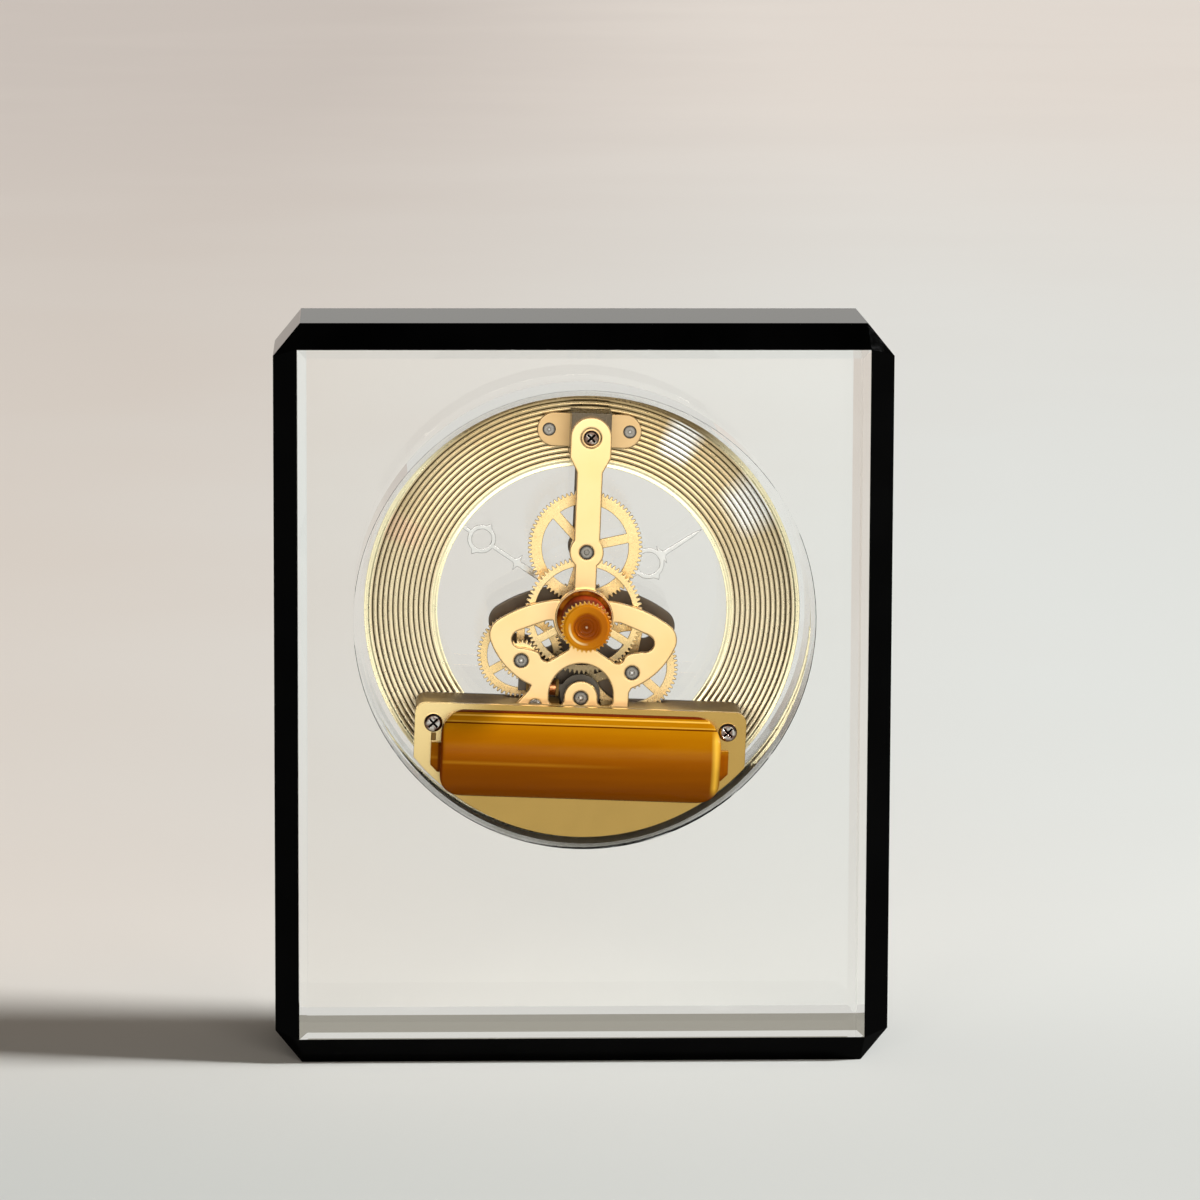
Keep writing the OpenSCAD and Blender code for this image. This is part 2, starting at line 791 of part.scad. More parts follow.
module arm_screw() {
    on_axis()
        cross_screw([0, arm_top], back_plate_depth + sink_d, screw_l - sink_d - 0.2, arm_screw_r);
}

module base_screws() {
    on_axis()
        for (s = [-1, 1])
            cross_screw([s * screw_at[0], screw_at[1]], base_depth, screw_l - 0.2, screw_r);
}

// Dark body behind the base plate, with the battery bay, the wheel slots and the board's pocket
module housing() {
    top = base_depth + base_t;
    color("#2c2722")
        on_axis()
            difference() {
                base_segment(top, front_plate_depth - top, housing_gap, base_corner);
                translate([-bay_l / 2, -cell_drop - bay_r, -cell_depth])
                    cube([bay_l, 2 * bay_r, cell_depth]);
                translate([-bay_l / 2, -cell_drop, -cell_depth])
                    rotate([0, 90, 0])
                        cylinder(r = bay_r, h = bay_l);
                // Seats of the two end contacts
                for (s = [-1, 1])
                    translate([s * bay_l / 2 - contact_t, -cell_drop - contact_w / 2, -cell_depth - contact_w / 2])
                        cube([2 * contact_t, contact_w, contact_w + cell_depth]);
                pin(right_at, wheel_slot(right_teeth), slot_depth, 9);
                pin(left_at, wheel_slot(left_teeth), slot_depth, 9);
                pin(rotor_at, stator_r + 0.4, rotor_slot_depth, 12);
                // Notch of the back plate's feet
                layer(back_plate_depth - foot_pin_head, plate_t + foot_pin_head)
                    translate([-foot_left - 0.1, -foot_end - 0.1])
                        square([foot_left + leg_u + 0.2, foot_end]);
                // Pocket of the circuit board, open to the front plate
                layer(pocket_depth, 9)
                    translate([board_at[0] - pocket_w / 2, board_at[1] - pocket_h / 2])
                        square([pocket_w, pocket_h]);
                for (s = [-1, 1])
                    pin([s * screw_at[0], screw_at[1]], screw_shank_r, base_depth, screw_l);
            }
}
function wheel_slot(n) = (n / 2 + 1) * gear_m + 0.5;

// Gold base plate with the opening for the battery cover
module base_plate() {
    color("#e9cd84")
        on_axis()
            difference() {
                base_segment(base_depth, base_t, 0, base_corner + housing_gap);
                cover_plan(foot_play - cover_step, base_depth - eps, base_t + 2 * eps);
                // Slot for a catch, between the left screw and the cover's tab
                layer(base_depth - eps, base_t + 2 * eps)
                    translate([-cover_l / 2 - tab_l, tab_v + 0.2])
                        square([0.9, 1.6]);
                for (s = [-1, 1])
                    pin([s * screw_at[0], screw_at[1]], screw_shank_r + 0.2, 0, 4);
            }
}

// Steel bushes that carry the pivots in the back plate
module plate_bush(at, depth) {
    color("#77726c")
        difference() {
            pin(at, bush_r - 0.01, depth, plate_t);
            pin(at, pivot_r + running_gap, depth - eps, plate_t + 2 * eps);
        }
}

module centre_bush(depth) {
    color("#77726c")
        difference() {
            pin([0, 0], centre_bush_r - 0.01, depth, plate_t);
            pin([0, 0], minute_arbor_r + running_gap, depth - eps, plate_t + 2 * eps);
        }
}

module plate_bushes() {
    on_axis() {
        for (at = [upper_at, left_at, right_at, rotor_at])
            plate_bush(at, back_plate_depth);
        centre_bush(back_plate_depth);
    }
}

module front_bushes() {
    on_axis() {
        for (at = [upper_at, left_at, right_at, rotor_at])
            plate_bush(at, front_plate_depth);
        centre_bush(front_plate_depth);
    }
}

// Thin raised ring round the knob's inner end
module knob_collar() {
    color("#f0d48a")
        on_axis()
            layer(back_plate_depth - collar_h, collar_h)
                difference() {
                    circle(r = collar_r);
                    circle(r = collar_r - collar_t);
                }
}

module foot_pin() {
    color("#77726c")
        on_axis() {
            pin(foot_pin_at, foot_pin_r - 0.01, back_plate_depth, plate_t);
            pin(foot_pin_at, foot_pin_r - 0.3, back_plate_depth - foot_pin_head, foot_pin_head);
        }
}

// Battery cell lying across the clock
module battery_cell() {
    color("#3b3f45")
        on_axis()
            translate([-cell_l / 2, -cell_drop, -cell_depth])
                rotate([0, 90, 0])
                    rotate_extrude()
                        polygon([[0, 0], [cell_r - 0.8, 0], [cell_r, 0.8], [cell_r, cell_l - 0.8],
                            [cell_r - 0.8, cell_l], [nub_r, cell_l], [nub_r, cell_l + nub_l], [0, cell_l + nub_l]]);
}

// Upright plate at one end of the bay, from its seat up to the base plate
module contact_plate() {
    foot = cell_depth + contact_w / 2 - 0.1;
    translate([0, -cell_drop - contact_w / 2 + 0.1, -foot])
        cube([contact_t, contact_w - 0.2, foot - contact_top]);
}

module contact_positive() {
    color("#b9b6b0")
        on_axis()
            translate([bay_l / 2 - 0.02, 0, 0])
                contact_plate();
}

// Negative contact: a plate with a stepped spring drawn as a short cone
module contact_negative() {
    gap = (bay_l - cell_l) / 2;
    color("#b9b6b0")
        on_axis()
            translate([-bay_l / 2 - contact_t + 0.02, 0, 0]) {
                contact_plate();
                translate([contact_t, -cell_drop, -cell_depth])
                    rotate([0, 90, 0])
                        cylinder(r1 = 3.4, r2 = 2, h = gap - 0.04);
            }
}

module circuit_board() {
    color("#24563a")
        on_axis()
            layer(pocket_depth + 0.05, board_t)
                translate([board_at[0] - board_w / 2, board_at[1] - board_h / 2])
                    square([board_w, board_h]);
}

// Quartz crystal can lying on the circuit board
module quartz_can() {
    color("#c4c4c6")
        on_axis()
            translate([board_at[0] - can_l / 2, board_at[1] - board_h / 4, -pocket_depth - 0.05 - board_t - can_r])
                rotate([0, 90, 0])
                    cylinder(r = can_r, h = can_l, $fn = 48);
}

// Iron core: a pole ring round the rotor and a loop through the coil
module stator() {
    color("#5d5a57")
        on_axis()
            layer(core_depth, core_t)
                difference() {
                    union() {
                        translate(rotor_at)
                            circle(r = stator_r);
                        translate([core_left, coil_v - core_w / 2])
                            square([-core_left, core_w]);
                        translate([core_left, core_top - core_w])
                            square([-core_left, core_w]);
                        translate([core_left, coil_v - core_w / 2])
                            square([core_w, core_top - coil_v + core_w / 2]);
                    }
                    translate(rotor_at)
                        circle(r = magnet_r + 0.4);
                }
}

module coil_bobbin() {
    color("#151515")
        on_axis()
            difference() {
                for (s = [0, 1])
                    translate([coil_from + s * (coil_l - flange_t), coil_v, -core_depth - core_t / 2])
                        rotate([0, 90, 0])
                            cylinder(r = coil_r, h = flange_t);
                layer(core_depth - 0.02, core_t + 0.04)
                    translate([coil_from - 1, coil_v - core_w / 2 - 0.02])
                        square([coil_l + 2, core_w + 0.04]);
            }
}

module coil_winding() {
    color("#b5622a")
        on_axis()
            difference() {
                translate([coil_from + flange_t, coil_v, -core_depth - core_t / 2])
                    rotate([0, 90, 0])
                        cylinder(r = coil_r - 0.25, h = coil_l - 2 * flange_t);
                layer(core_depth - 0.02, core_t + 0.04)
                    translate([coil_from - 1, coil_v - core_w / 2 - 0.02])
                        square([coil_l + 2, core_w + 0.04]);
            }
}

// Arbor with a pivot at each end, between the plates
module pivoted_arbor(at) {
    inner = back_plate_depth + plate_t;
    pin(at, arbor_r, inner + end_play, front_plate_depth - inner - 2 * end_play);
    pin(at, pivot_r, back_plate_depth + 0.05, front_plate_depth + plate_t - back_plate_depth - 0.1);
}

module minute_arbor() {
    color("#b8b4ae")
        on_axis()
            pin([0, 0], minute_arbor_r, back_plate_depth - 3.4, cap_end - back_plate_depth + 2.9);
}

module centre_wheel() {
    color("#e8c57c")
        on_axis()
            layer(centre_depth, wheel_t)
                wheel_2d(centre_teeth, gear_m, centre_add, centre_phase, 10.1, 2.6, 1.5, 90, minute_arbor_r + 0.01);
}

module drive_pinion() {
    color("#d8b468")
        on_axis()
            layer(train_depth - pinion_over, wheel_t + 2 * pinion_over)
                pinion_2d(cannon_teeth, gear_m, cannon_phase, minute_arbor_r + 0.01);
}

module cannon_pinion() {
    color("#d8b468")
        on_axis()
            layer(cannon_depth, hour_depth - cannon_depth - 0.3)
                pinion_2d(cannon_teeth, gear_m, cannon_phase, minute_arbor_r + 0.01);
}

module setting_knob() {
    root_r = knob_r - ridge_d;
    lip = 0.35;
    bore_l = 4.4;
    color("#c8740c")
        on_axis()
            difference() {
                union() {
                    translate([0, 0, knob_out - knob_l])
                        cylinder(r = root_r - 0.1, h = knob_l - lip);
                    translate([0, 0, knob_out - lip - knob_rim_t])
                        linear_extrude(knob_rim_t)
                            polygon([for (k = [0:knob_ridges - 1], s = [0:3])
                                let (r = knob_r - (s == 0 || s == 3 ? ridge_d : 0))
                                let (a = (k + [0.06, 0.34, 0.48, 0.76][s]) * 360 / knob_ridges)
                                [r * cos(a), r * sin(a)]]);
                    // Rounded lip between the ridges and the dish
                    translate([0, 0, knob_out - lip])
                        rotate_extrude()
                            polygon(concat([[0, -1], [root_r - 0.2, -1]],
                                arc([root_r - 0.2 - lip, 0], lip, 0, 90, 4), [[0, lip]]));
                }
                // Dish with three turned rings and a small nub
                translate([0, 0, knob_out])
                    rotate_extrude()
                        polygon(concat([[0, -0.45], [0.25, -0.45], [0.35, -knob_dish_d]],
                            [for (k = [1:3], s = [-1, 0, 1])
                                let (r = knob_dish_r * k / 4)
                                [r + s * 0.18, dish_height(r + s * 0.18) + (s == 0 ? 0.16 : 0)]],
                            [[knob_dish_r, 0], [knob_dish_r, 1], [0, 1]]));
                translate([0, 0, knob_out - knob_l - eps])
                    cylinder(r = minute_arbor_r + 0.01, h = bore_l, $fn = 48);
            }
}
function dish_height(r) = -knob_dish_d * (1 - pow(r / knob_dish_r, 2));

// Seat disc, bar, cross, ring and tip of a hand that points along +x
module hand(depth, length, bar_w, cross_at, ring_at, ring_out, ring_in, hub, hole) {
    difference() {
        union() {
            pin([0, 0], hub, depth, hand_t);
            pin([ring_at, 0], ring_out, depth, hand_t);
            layer(depth, hand_t) {
                polygon([[0, -bar_w / 2], [cross_at, -bar_w * 0.4], [cross_at, bar_w * 0.4], [0, bar_w / 2]]);
                translate([cross_at, 0])
                    polygon([[-1.2, 0], [-0.3, -0.8], [0, -bar_w * 1.25], [0.5, -0.7], [1.4, 0],
                        [0.5, 0.7], [0, bar_w * 1.25], [-0.3, 0.8]]);
                polygon([[cross_at - 1, -bar_w * 0.3], [length - 2, -bar_w * 0.2], [length, 0],
                    [length - 2, bar_w * 0.2], [cross_at - 1, bar_w * 0.3]]);
                translate([ring_at, 0])
                    polygon([[-1, -ring_out + 0.4], [0, -ring_out - 0.8], [1, -ring_out + 0.4],
                        [1, ring_out - 0.4], [0, ring_out + 0.8], [-1, ring_out - 0.4]]);
            }
        }
        pin([ring_at, 0], ring_in, depth - eps, hand_t + 2 * eps);
        pin([0, 0], hole, depth - eps, hand_t + 2 * eps);
    }
}

module minute_hand() {
    color("#d9d9d6")
        on_axis()
            rotate(90 + 6 * show_minutes)
                hand(minute_hand_depth, minute_l, 1.5, 15.7, 24.5, 2.9, 2.05, 2.3, minute_arbor_r + 0.01);
}

module hour_hand() {
    color("#d9d9d6")
        on_axis()
            rotate(90 + 30 * (show_hours + show_minutes / 60))
                hand(hour_hand_depth, hour_l, 1.7, 19.5, 16.3, 3.2, 2.3, 2.8, pipe_r + 0.01);
}

module hand_cap() {
    color("#d9d9d6")
        on_axis()
            difference() {
                translate([0, 0, -cap_end])
                    rotate_extrude($fn = 64)
                        polygon(concat([[0, cap_end - minute_hand_depth - hand_t]],
                            arc([1.2, 0.4], 0.4, 0, -90, 6), [[0, 0]]));
                pin([0, 0], minute_arbor_r + 0.01, 0, cap_end - 0.45);
            }
}

// Hour wheel with the pipe that carries the hour hand
module hour_wheel() {
    color("#e8c57c")
        on_axis() {
            layer(hour_depth, wheel_t)
                wheel_2d(hour_teeth, motion_m, 0.55, hour_phase, 4.7, 2.6, 1.2, 30, minute_arbor_r + running_gap);
            layer(hour_depth, hour_hand_depth + hand_t + 0.3 - hour_depth)
                difference() {
                    circle(r = pipe_r, $fn = 64);
                    circle(r = minute_arbor_r + running_gap, $fn = 48);
                }
        }
}

// Wheel between the cannon pinion and the hour wheel, with its pinion
module motion_wheel() {
    color("#e8c57c")
        on_axis()
            translate(motion_at)
                layer(motion_depth, wheel_t)
                    wheel_2d(motion_teeth, gear_m, wheel_add, motion_phase, 4.2, 2, 1.2, 0, arbor_r + running_gap);
}

module motion_pinion() {
    color("#d8b468")
        on_axis()
            translate(motion_at)
                layer(motion_depth + wheel_t, hour_depth + wheel_t + 0.2 - motion_depth - wheel_t)
                    pinion_2d(motion_pinion_teeth, motion_m, motion_phase, arbor_r + running_gap);
}

// Fixed post that the motion wheel turns on
module motion_post() {
    color("#b8b4ae")
        on_axis() {
            pin(motion_at, motion_post_r - 0.01, front_plate_depth, plate_t);
            pin(motion_at, arbor_r, ring_depth, hour_depth + wheel_t + 0.5 - ring_depth);
        }
}

module train_wheel(at, n, phase, rim_r, hub_r, spoke_w, spoke_from) {
    color("#f0cf86")
        on_axis()
            translate(at)
                layer(train_depth, wheel_t)
                    wheel_2d(n, gear_m, wheel_add, phase, rim_r, hub_r, spoke_w, spoke_from, arbor_r + 0.01);
}

module train_pinion(at, n, phase, depth) {
    color("#d8b468")
        on_axis() {
            pivoted_arbor(at);
            translate(at)
                layer(depth - pinion_over, wheel_t + 2 * pinion_over)
                    pinion_2d(n, gear_m, phase, arbor_r - 0.1);
        }
}

module upper_arbor() {
    color("#b8b4ae")
        on_axis()
            pivoted_arbor(upper_at);
}

module rotor_magnet() {
    color("#4a4a4e")
        on_axis()
            difference() {
                pin(rotor_at, magnet_r, core_depth - 0.5, core_t + 1);
                pin(rotor_at, arbor_r + 0.01, 0, front_plate_depth);
            }
}

// Outline of the battery cover, grown by a gap
module cover_plan(gap, depth, thick) {
    corner = cover_corner + gap;
    half_l = cover_l / 2 + gap;
    half_h = cover_h / 2 + gap;
    translate([0, -cover_drop, 0]) {
        layer(depth, thick) {
            square([2 * half_l, 2 * (half_h - corner)], center = true);
            square([2 * (half_l - corner), 2 * half_h], center = true);
        }
        for (su = [-1, 1], sv = [-1, 1])
            pin([su * (half_l - corner), sv * (half_h - corner)], corner, depth, thick);
    }
}

// The two side tabs of the cover, with the lower outer corner cut off
module tab_plan(depth, thick) {
    for (s = [-1, 1])
        translate([s * cover_l / 2, tab_v, 0])
            layer(depth, thick)
                polygon([[-s, -tab_h], [s * (tab_l - tab_cut), -tab_h], [s * tab_l, -tab_h + tab_cut],
                    [s * tab_l, 0], [-s, 0]]);
}

// The cylinder that rounds the cover's back
module cover_round(r) {
    translate([-cover_l / 2 - 1, -cover_drop, -cell_depth])
        rotate([0, 90, 0])
            cylinder(r = r, h = cover_l + 2, $fn = 160);
}

// Amber battery cover: a round-backed shell on a stepped foot, with a tab at each end
module battery_cover() {
    rim = -cover_step - cover_foot_t;
    color("#b96a08")
        on_axis()
            difference() {
                union() {
                    intersection() {
                        cover_plan(0, -20, 20 + base_depth);
                        cover_round(cover_r);
                    }
                    cover_plan(-cover_step, base_depth - 0.2, cover_foot - base_depth + 0.2);
                    tab_plan(base_depth - tab_t, tab_t);
                }
                intersection() {
                    cover_plan(rim, -20, 21 + cover_foot);
                    cover_round(cover_r - cover_t);
                }
            }
}

crystal_block();
end_bar_piece(1);  // frame_top
end_bar_piece(-1);  // frame_bottom
side_bar_piece(1);  // frame_left
side_bar_piece(-1);  // frame_right
clear_sleeve();
dial_ring();
hour_numerals();
minute_track();
front_plate();
back_plate();
post_block();
bracket_rivets();
arm_screw();
housing();
base_plate();
base_screws();
plate_bushes();
front_bushes();
knob_collar();
foot_pin();
battery_cell();
contact_positive();
contact_negative();
circuit_board();
quartz_can();
coil_bobbin();
coil_winding();
stator();
minute_arbor();
centre_wheel();
drive_pinion();
cannon_pinion();
setting_knob();
minute_hand();
hand_cap();
hour_wheel();
hour_hand();
motion_wheel();
motion_pinion();
motion_post();
train_wheel(upper_at, upper_teeth, upper_phase, 8.8, 3, 1.9, 14);  // upper_wheel
upper_arbor();
train_wheel(left_at, left_teeth, 0, 6.7, 2, 1.7, 91);  // left_wheel
train_pinion(left_at, left_pinion_teeth, left_phase, centre_depth);  // left_pinion
train_wheel(right_at, right_teeth, right_phase, 7.4, 2, 1.8, 80);  // right_wheel
train_pinion(right_at, right_pinion_teeth, right_phase, centre_depth);  // right_pinion
rotor_magnet();
train_pinion(rotor_at, rotor_teeth, rotor_phase, train_depth);  // rotor_pinion
battery_cover();
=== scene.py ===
"""Looks of the crystal desk clock: materials, a pale studio and the camera of the photograph."""
import json
import math

import bpy
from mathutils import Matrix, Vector


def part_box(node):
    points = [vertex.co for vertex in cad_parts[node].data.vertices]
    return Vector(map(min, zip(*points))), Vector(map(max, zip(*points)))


MM = 0.001

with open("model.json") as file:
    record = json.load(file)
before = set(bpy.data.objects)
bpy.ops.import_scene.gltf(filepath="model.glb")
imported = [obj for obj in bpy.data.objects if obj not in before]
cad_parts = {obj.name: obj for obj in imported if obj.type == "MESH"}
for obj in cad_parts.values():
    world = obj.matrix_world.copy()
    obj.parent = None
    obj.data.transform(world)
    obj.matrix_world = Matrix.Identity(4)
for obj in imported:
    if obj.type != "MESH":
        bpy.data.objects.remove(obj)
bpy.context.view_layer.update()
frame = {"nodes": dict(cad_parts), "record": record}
nodes = frame["nodes"]

# Camera of the photograph, in millimetres and degrees
CAMERA_AT = (44.88, 1210.37, 268.84)
CAMERA_TURN = (81.7199, -0.2276, 177.7231)
LENS = 180
SENSOR_W = 36
CLIP_END = 100

# The studio
FLOOR_R = 9000
FLOOR_NEAR = ((0.73, 0.735, 0.71), (0.57, 0.575, 0.55))
FLOOR_MID = ((0.88, 0.885, 0.855), (0.795, 0.71, 0.64))
FLOOR_FAR = ((0.925, 0.835, 0.765), (0.725, 0.64, 0.585))
AMBIENT = 0.097
AMBIENT_COLOUR = (1.0, 0.88, 0.75)
BACKDROP_LOW = (0.70, 0.685, 0.65)
BACKDROP_HIGH = (0.35, 0.33, 0.28)
BEHIND_CAMERA = (0.10, 0.095, 0.09)
# Where the backdrop dims: how far up a ray looks, and how far toward the camera's side, as sines
HORIZON = (0.13, 0.20)
CAMERA_SIDE = (-0.3, 0.5)
SUN_FROM = (-1, 0.14, 0.75)
SUN_POWER = 4.0
SUN_SPREAD = 10
SUN_COLOUR = (0.96, 0.99, 1.0)
# The soft box above the camera, in millimetres and watts
FILL_AT = (0, 1650, 480)
FILL_AIM = (0, 0, 80)
FILL_SIZE = (1500, 700)
FILL_POWER = 13.8
FILL_COLOUR = (1.0, 0.95, 0.88)


class Tree:
    """A material's node tree, with short calls for the nodes that every material here uses."""

    def __init__(self, name):
        self.mat = bpy.data.materials.new(name)
        self.mat.use_nodes = True
        self.nodes = self.mat.node_tree.nodes
        self.links = self.mat.node_tree.links
        self.shader = self.nodes["Principled BSDF"]
        self.output = self.nodes["Material Output"]
        coords = self.nodes.new("ShaderNodeTexCoord")
        self.place = coords.outputs["Object"]
        self.soft_normal = None

    def link(self, source, target):
        self.links.new(source, target)

    def feed(self, value, target):
        """Set a socket to a number or a colour, or link it to another socket."""
        if isinstance(value, (int, float)):
            target.default_value = value
        elif isinstance(value, tuple):
            target.default_value = (*value, 1)
        else:
            self.link(value, target)

    def set(self, **values):
        for key, value in values.items():
            socket = self.shader.inputs[key.replace("_", " ")]
            socket.default_value = (*value, 1) if socket.type == "RGBA" else value

    def paint(self, colour):
        self.link(colour, self.shader.inputs["Base Color"])

    def roughen(self, source, low, high, *span):
        """Roughness between low and high, led by another value."""
        self.link(self.ramp(source, low, high, *span), self.shader.inputs["Roughness"])

    def sum(self, what, first, second=0.0):
        """One sum of two sockets or numbers."""
        node = self.nodes.new("ShaderNodeMath")
        node.operation = what
        self.feed(first, node.inputs[0])
        self.feed(second, node.inputs[1])
        return node.outputs["Value"]

    def parts(self):
        """Place in the clock's own frame, in metres."""
        node = self.nodes.new("ShaderNodeSeparateXYZ")
        self.link(self.place, node.inputs["Vector"])
        return node.outputs["X"], node.outputs["Y"], node.outputs["Z"]

    def away(self, centre):
        """Distance from a line that runs front to back through a centre."""
        x, _, z = self.parts()
        across = self.sum("SUBTRACT", x, centre[0])
        up = self.sum("SUBTRACT", z, centre[2])
        square = self.sum("ADD", self.sum("MULTIPLY", across, across), self.sum("MULTIPLY", up, up))
        return self.sum("SQRT", square)

    def turned(self, centre, turn):
        """Place along and across a direction that is turned on the clock's face, from a centre."""
        x, _, z = self.parts()
        right = self.sum("SUBTRACT", x, centre[0])
        up = self.sum("SUBTRACT", z, centre[2])
        cos, sin = math.cos(turn), math.sin(turn)
        along = self.sum("ADD", self.sum("MULTIPLY", right, cos), self.sum("MULTIPLY", up, sin))
        return along, self.sum("SUBTRACT", self.sum("MULTIPLY", up, cos), self.sum("MULTIPLY", right, sin))

    def band(self, value, at, half, fade):
        """1 where a value lies within half of a place, falling to 0 over a fade."""
        off = self.sum("ABSOLUTE", self.sum("SUBTRACT", value, at))
        return self.ramp(off, 1, 0, half, half + fade)

    def nearest(self, centres):
        """Distance from the nearest of several such lines."""
        least = self.away(centres[0])
        for centre in centres[1:]:
            least = self.sum("MINIMUM", least, self.away(centre))
        return least

    def noise(self, scale, detail=4, stretch=None):
        """Value noise at a scale per metre, stretched along an axis if asked."""
        node = self.nodes.new("ShaderNodeTexNoise")
        node.inputs["Scale"].default_value = scale
        node.inputs["Detail"].default_value = detail
        place = self.place
        if stretch:
            mapping = self.nodes.new("ShaderNodeMapping")
            mapping.inputs["Scale"].default_value = stretch
            self.link(place, mapping.inputs["Vector"])
            place = mapping.outputs["Vector"]
        self.link(place, node.inputs["Vector"])
        return node.outputs["Fac"]

    def ramp(self, source, low, high, start=0.35, end=0.65, smooth=False):
        """A value between low and high, led by another value."""
        node = self.nodes.new("ShaderNodeMapRange")
        if smooth:
            node.interpolation_type = "SMOOTHSTEP"
        rows = (("From Min", start), ("From Max", end), ("To Min", low), ("To Max", high))
        for name, value in rows:
            node.inputs[name].default_value = value
        self.link(source, node.inputs["Value"])
        return node.outputs["Result"]

    def blend(self, source, first, second):
        """A colour between two others, led by a value from 0 to 1."""
        node = self.nodes.new("ShaderNodeMix")
        node.data_type = "RGBA"
        self.feed(first, node.inputs["A"])
        self.feed(second, node.inputs["B"])
        self.feed(source, node.inputs["Factor"])
        return node.outputs["Result"]

    def mottle(self, scale, dark, light):
        """A colour that wanders between two others over the surface."""
        return self.blend(self.ramp(self.noise(scale), 0, 1), dark, light)

    def stops(self, source, rows):
        """A colour read off a row of places and colours."""
        node = self.nodes.new("ShaderNodeValToRGB")
        band = node.color_ramp
        # A new ramp has two stops already
        for k, (at, colour) in enumerate(rows):
            stop = band.elements[k] if k < 2 else band.elements.new(at)
            stop.position = at
            stop.color = (*colour, 1)
        self.link(source, node.inputs["Fac"])
        return node.outputs["Color"]

    def soften(self, radius, samples=6):
        """Round the edges of the mesh in the shading, by a radius in millimetres."""
        node = self.nodes.new("ShaderNodeBevel")
        node.samples = samples
        node.inputs["Radius"].default_value = radius * MM
        self.soft_normal = node.outputs["Normal"]
        self.link(self.soft_normal, self.shader.inputs["Normal"])

    def edge(self):
        """1 along the softened edges, where shade is painted, 0 on the faces between them, by how far the
        normal is turned.
        """
        plain = self.nodes.new("ShaderNodeNewGeometry")
        dot = self.nodes.new("ShaderNodeVectorMath")
        dot.operation = "DOT_PRODUCT"
        self.link(self.soft_normal, dot.inputs[0])
        self.link(plain.outputs["Normal"], dot.inputs[1])
        return self.ramp(dot.outputs["Value"], 1, 0, 0.92, 0.996)

    def bump(self, height, strength, distance):
        node = self.nodes.new("ShaderNodeBump")
        node.inputs["Strength"].default_value = strength
        node.inputs["Distance"].default_value = distance * MM
        self.link(height, node.inputs["Height"])
        if self.soft_normal:
            self.link(self.soft_normal, node.inputs["Normal"])
        self.link(node.outputs["Normal"], self.shader.inputs["Normal"])

    def let_lamps_through(self, tint):
        """Glass lets the light of lamps straight through, as thin glass and still air do."""
        path = self.nodes.new("ShaderNodeLightPath")
        clear = self.nodes.new("ShaderNodeBsdfTransparent")
        clear.inputs["Color"].default_value = (*tint, 1)
        mix = self.nodes.new("ShaderNodeMixShader")
        self.link(path.outputs["Is Shadow Ray"], mix.inputs["Fac"])
        self.link(self.shader.outputs["BSDF"], mix.inputs[1])
        self.link(clear.outputs["BSDF"], mix.inputs[2])
        self.link(mix.outputs["Shader"], self.output.inputs["Surface"])


def centre_of(name):
    low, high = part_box(name)
    return [(low[k] + high[k]) / 2 for k in range(3)]


def top_of(name):
    """The face of a piece that lies nearest the camera of the photograph."""
    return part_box(name)[1][1]


def halves(name):
    """Centres of the two like pieces of a node that lie left and right of its middle."""
    middle = centre_of(name)[0]
    centres = []
    for side in (-1, 1):
        points = [v.co for v in nodes[name].data.vertices if (v.co.x - middle) * side > 0]
        centres.append([(min(p[k] for p in points) + max(p[k] for p in points)) / 2 for k in range(3)])
    return centres


# Places and sizes that shaders share with the part
AXIS = centre_of("dial_ring")
COVER_HALF = 8.85 * MM
COVER_END = 28.1 * MM
KNOB_R = 5.15 * MM
COLLAR_BORE = 5.5 * MM
RING_FACE = top_of("dial_ring")
RING_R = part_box("dial_ring")[1][0] - AXIS[0]
RING_HOLE_R = 29.5 * MM
RING_BORDER = 1.2 * MM
GROOVE_COUNT = 12
GROOVE_D = 0.45 * MM
GROOVE_PITCH = (RING_R - RING_HOLE_R - 2 * RING_BORDER) / GROOVE_COUNT
UPPER = centre_of("upper_wheel")
LEFT = centre_of("left_wheel")
RIGHT = centre_of("right_wheel")
ROTOR = centre_of("rotor_magnet")
SCREWS = halves("base_screws")
TURN = math.atan2(SCREWS[1][2] - SCREWS[0][2], SCREWS[1][0] - SCREWS[0][0])


def from_axis(low, high):
    """Two heights on the clock, given from the ring's centre in millimetres."""
    return AXIS[2] + low * MM, AXIS[2] + high * MM


# Scales of noise, per metre: clouds of tone and the fine grain of metal
CLOUD = 60
GRAIN = 2500

# Radii of round heads and bushes, and of the shade behind the back plate, in millimetres
BUSH_R = 1.45
RIVET_R = 1.35
ARM_HEAD_R = 1.6
BASE_HEAD_R = 1.85
CENTRE_SHADE_R = 14
SIDE_SHADE_R = 17

# Where the turned ring shines: a turn on the clock's face, half the width as a sine, and a tone
GLINTS = ((math.radians(120), 0.11, (1.0, 1.0, 0.96)), (math.radians(148), 0.17, (1.0, 1.0, 0.96)),
          (math.radians(24), 0.09, (0.85, 0.62, 0.42)))

# Tones of the metals, with painted shade and highlight among them, of the painted reflection of amber in
# the knob's collar and of the sleeve's painted shade
GOLD_DARK = (0.96, 0.65, 0.30)
GOLD_LIGHT = (1.0, 0.71, 0.37)
# Painted shade along the edges of the metals
GOLD_EDGE_SHADE = (0.13, 0.08, 0.025)
STEEL_DARK = (0.20, 0.185, 0.165)
STEEL_LIGHT = (0.34, 0.32, 0.29)
WHEEL_DARK = (0.90, 0.66, 0.31)
WHEEL_LIGHT = (0.98, 0.75, 0.40)
WHEEL_SHADE = (0.30, 0.23, 0.13)
PIVOT_TONE = (0.9, 0.9, 0.88)
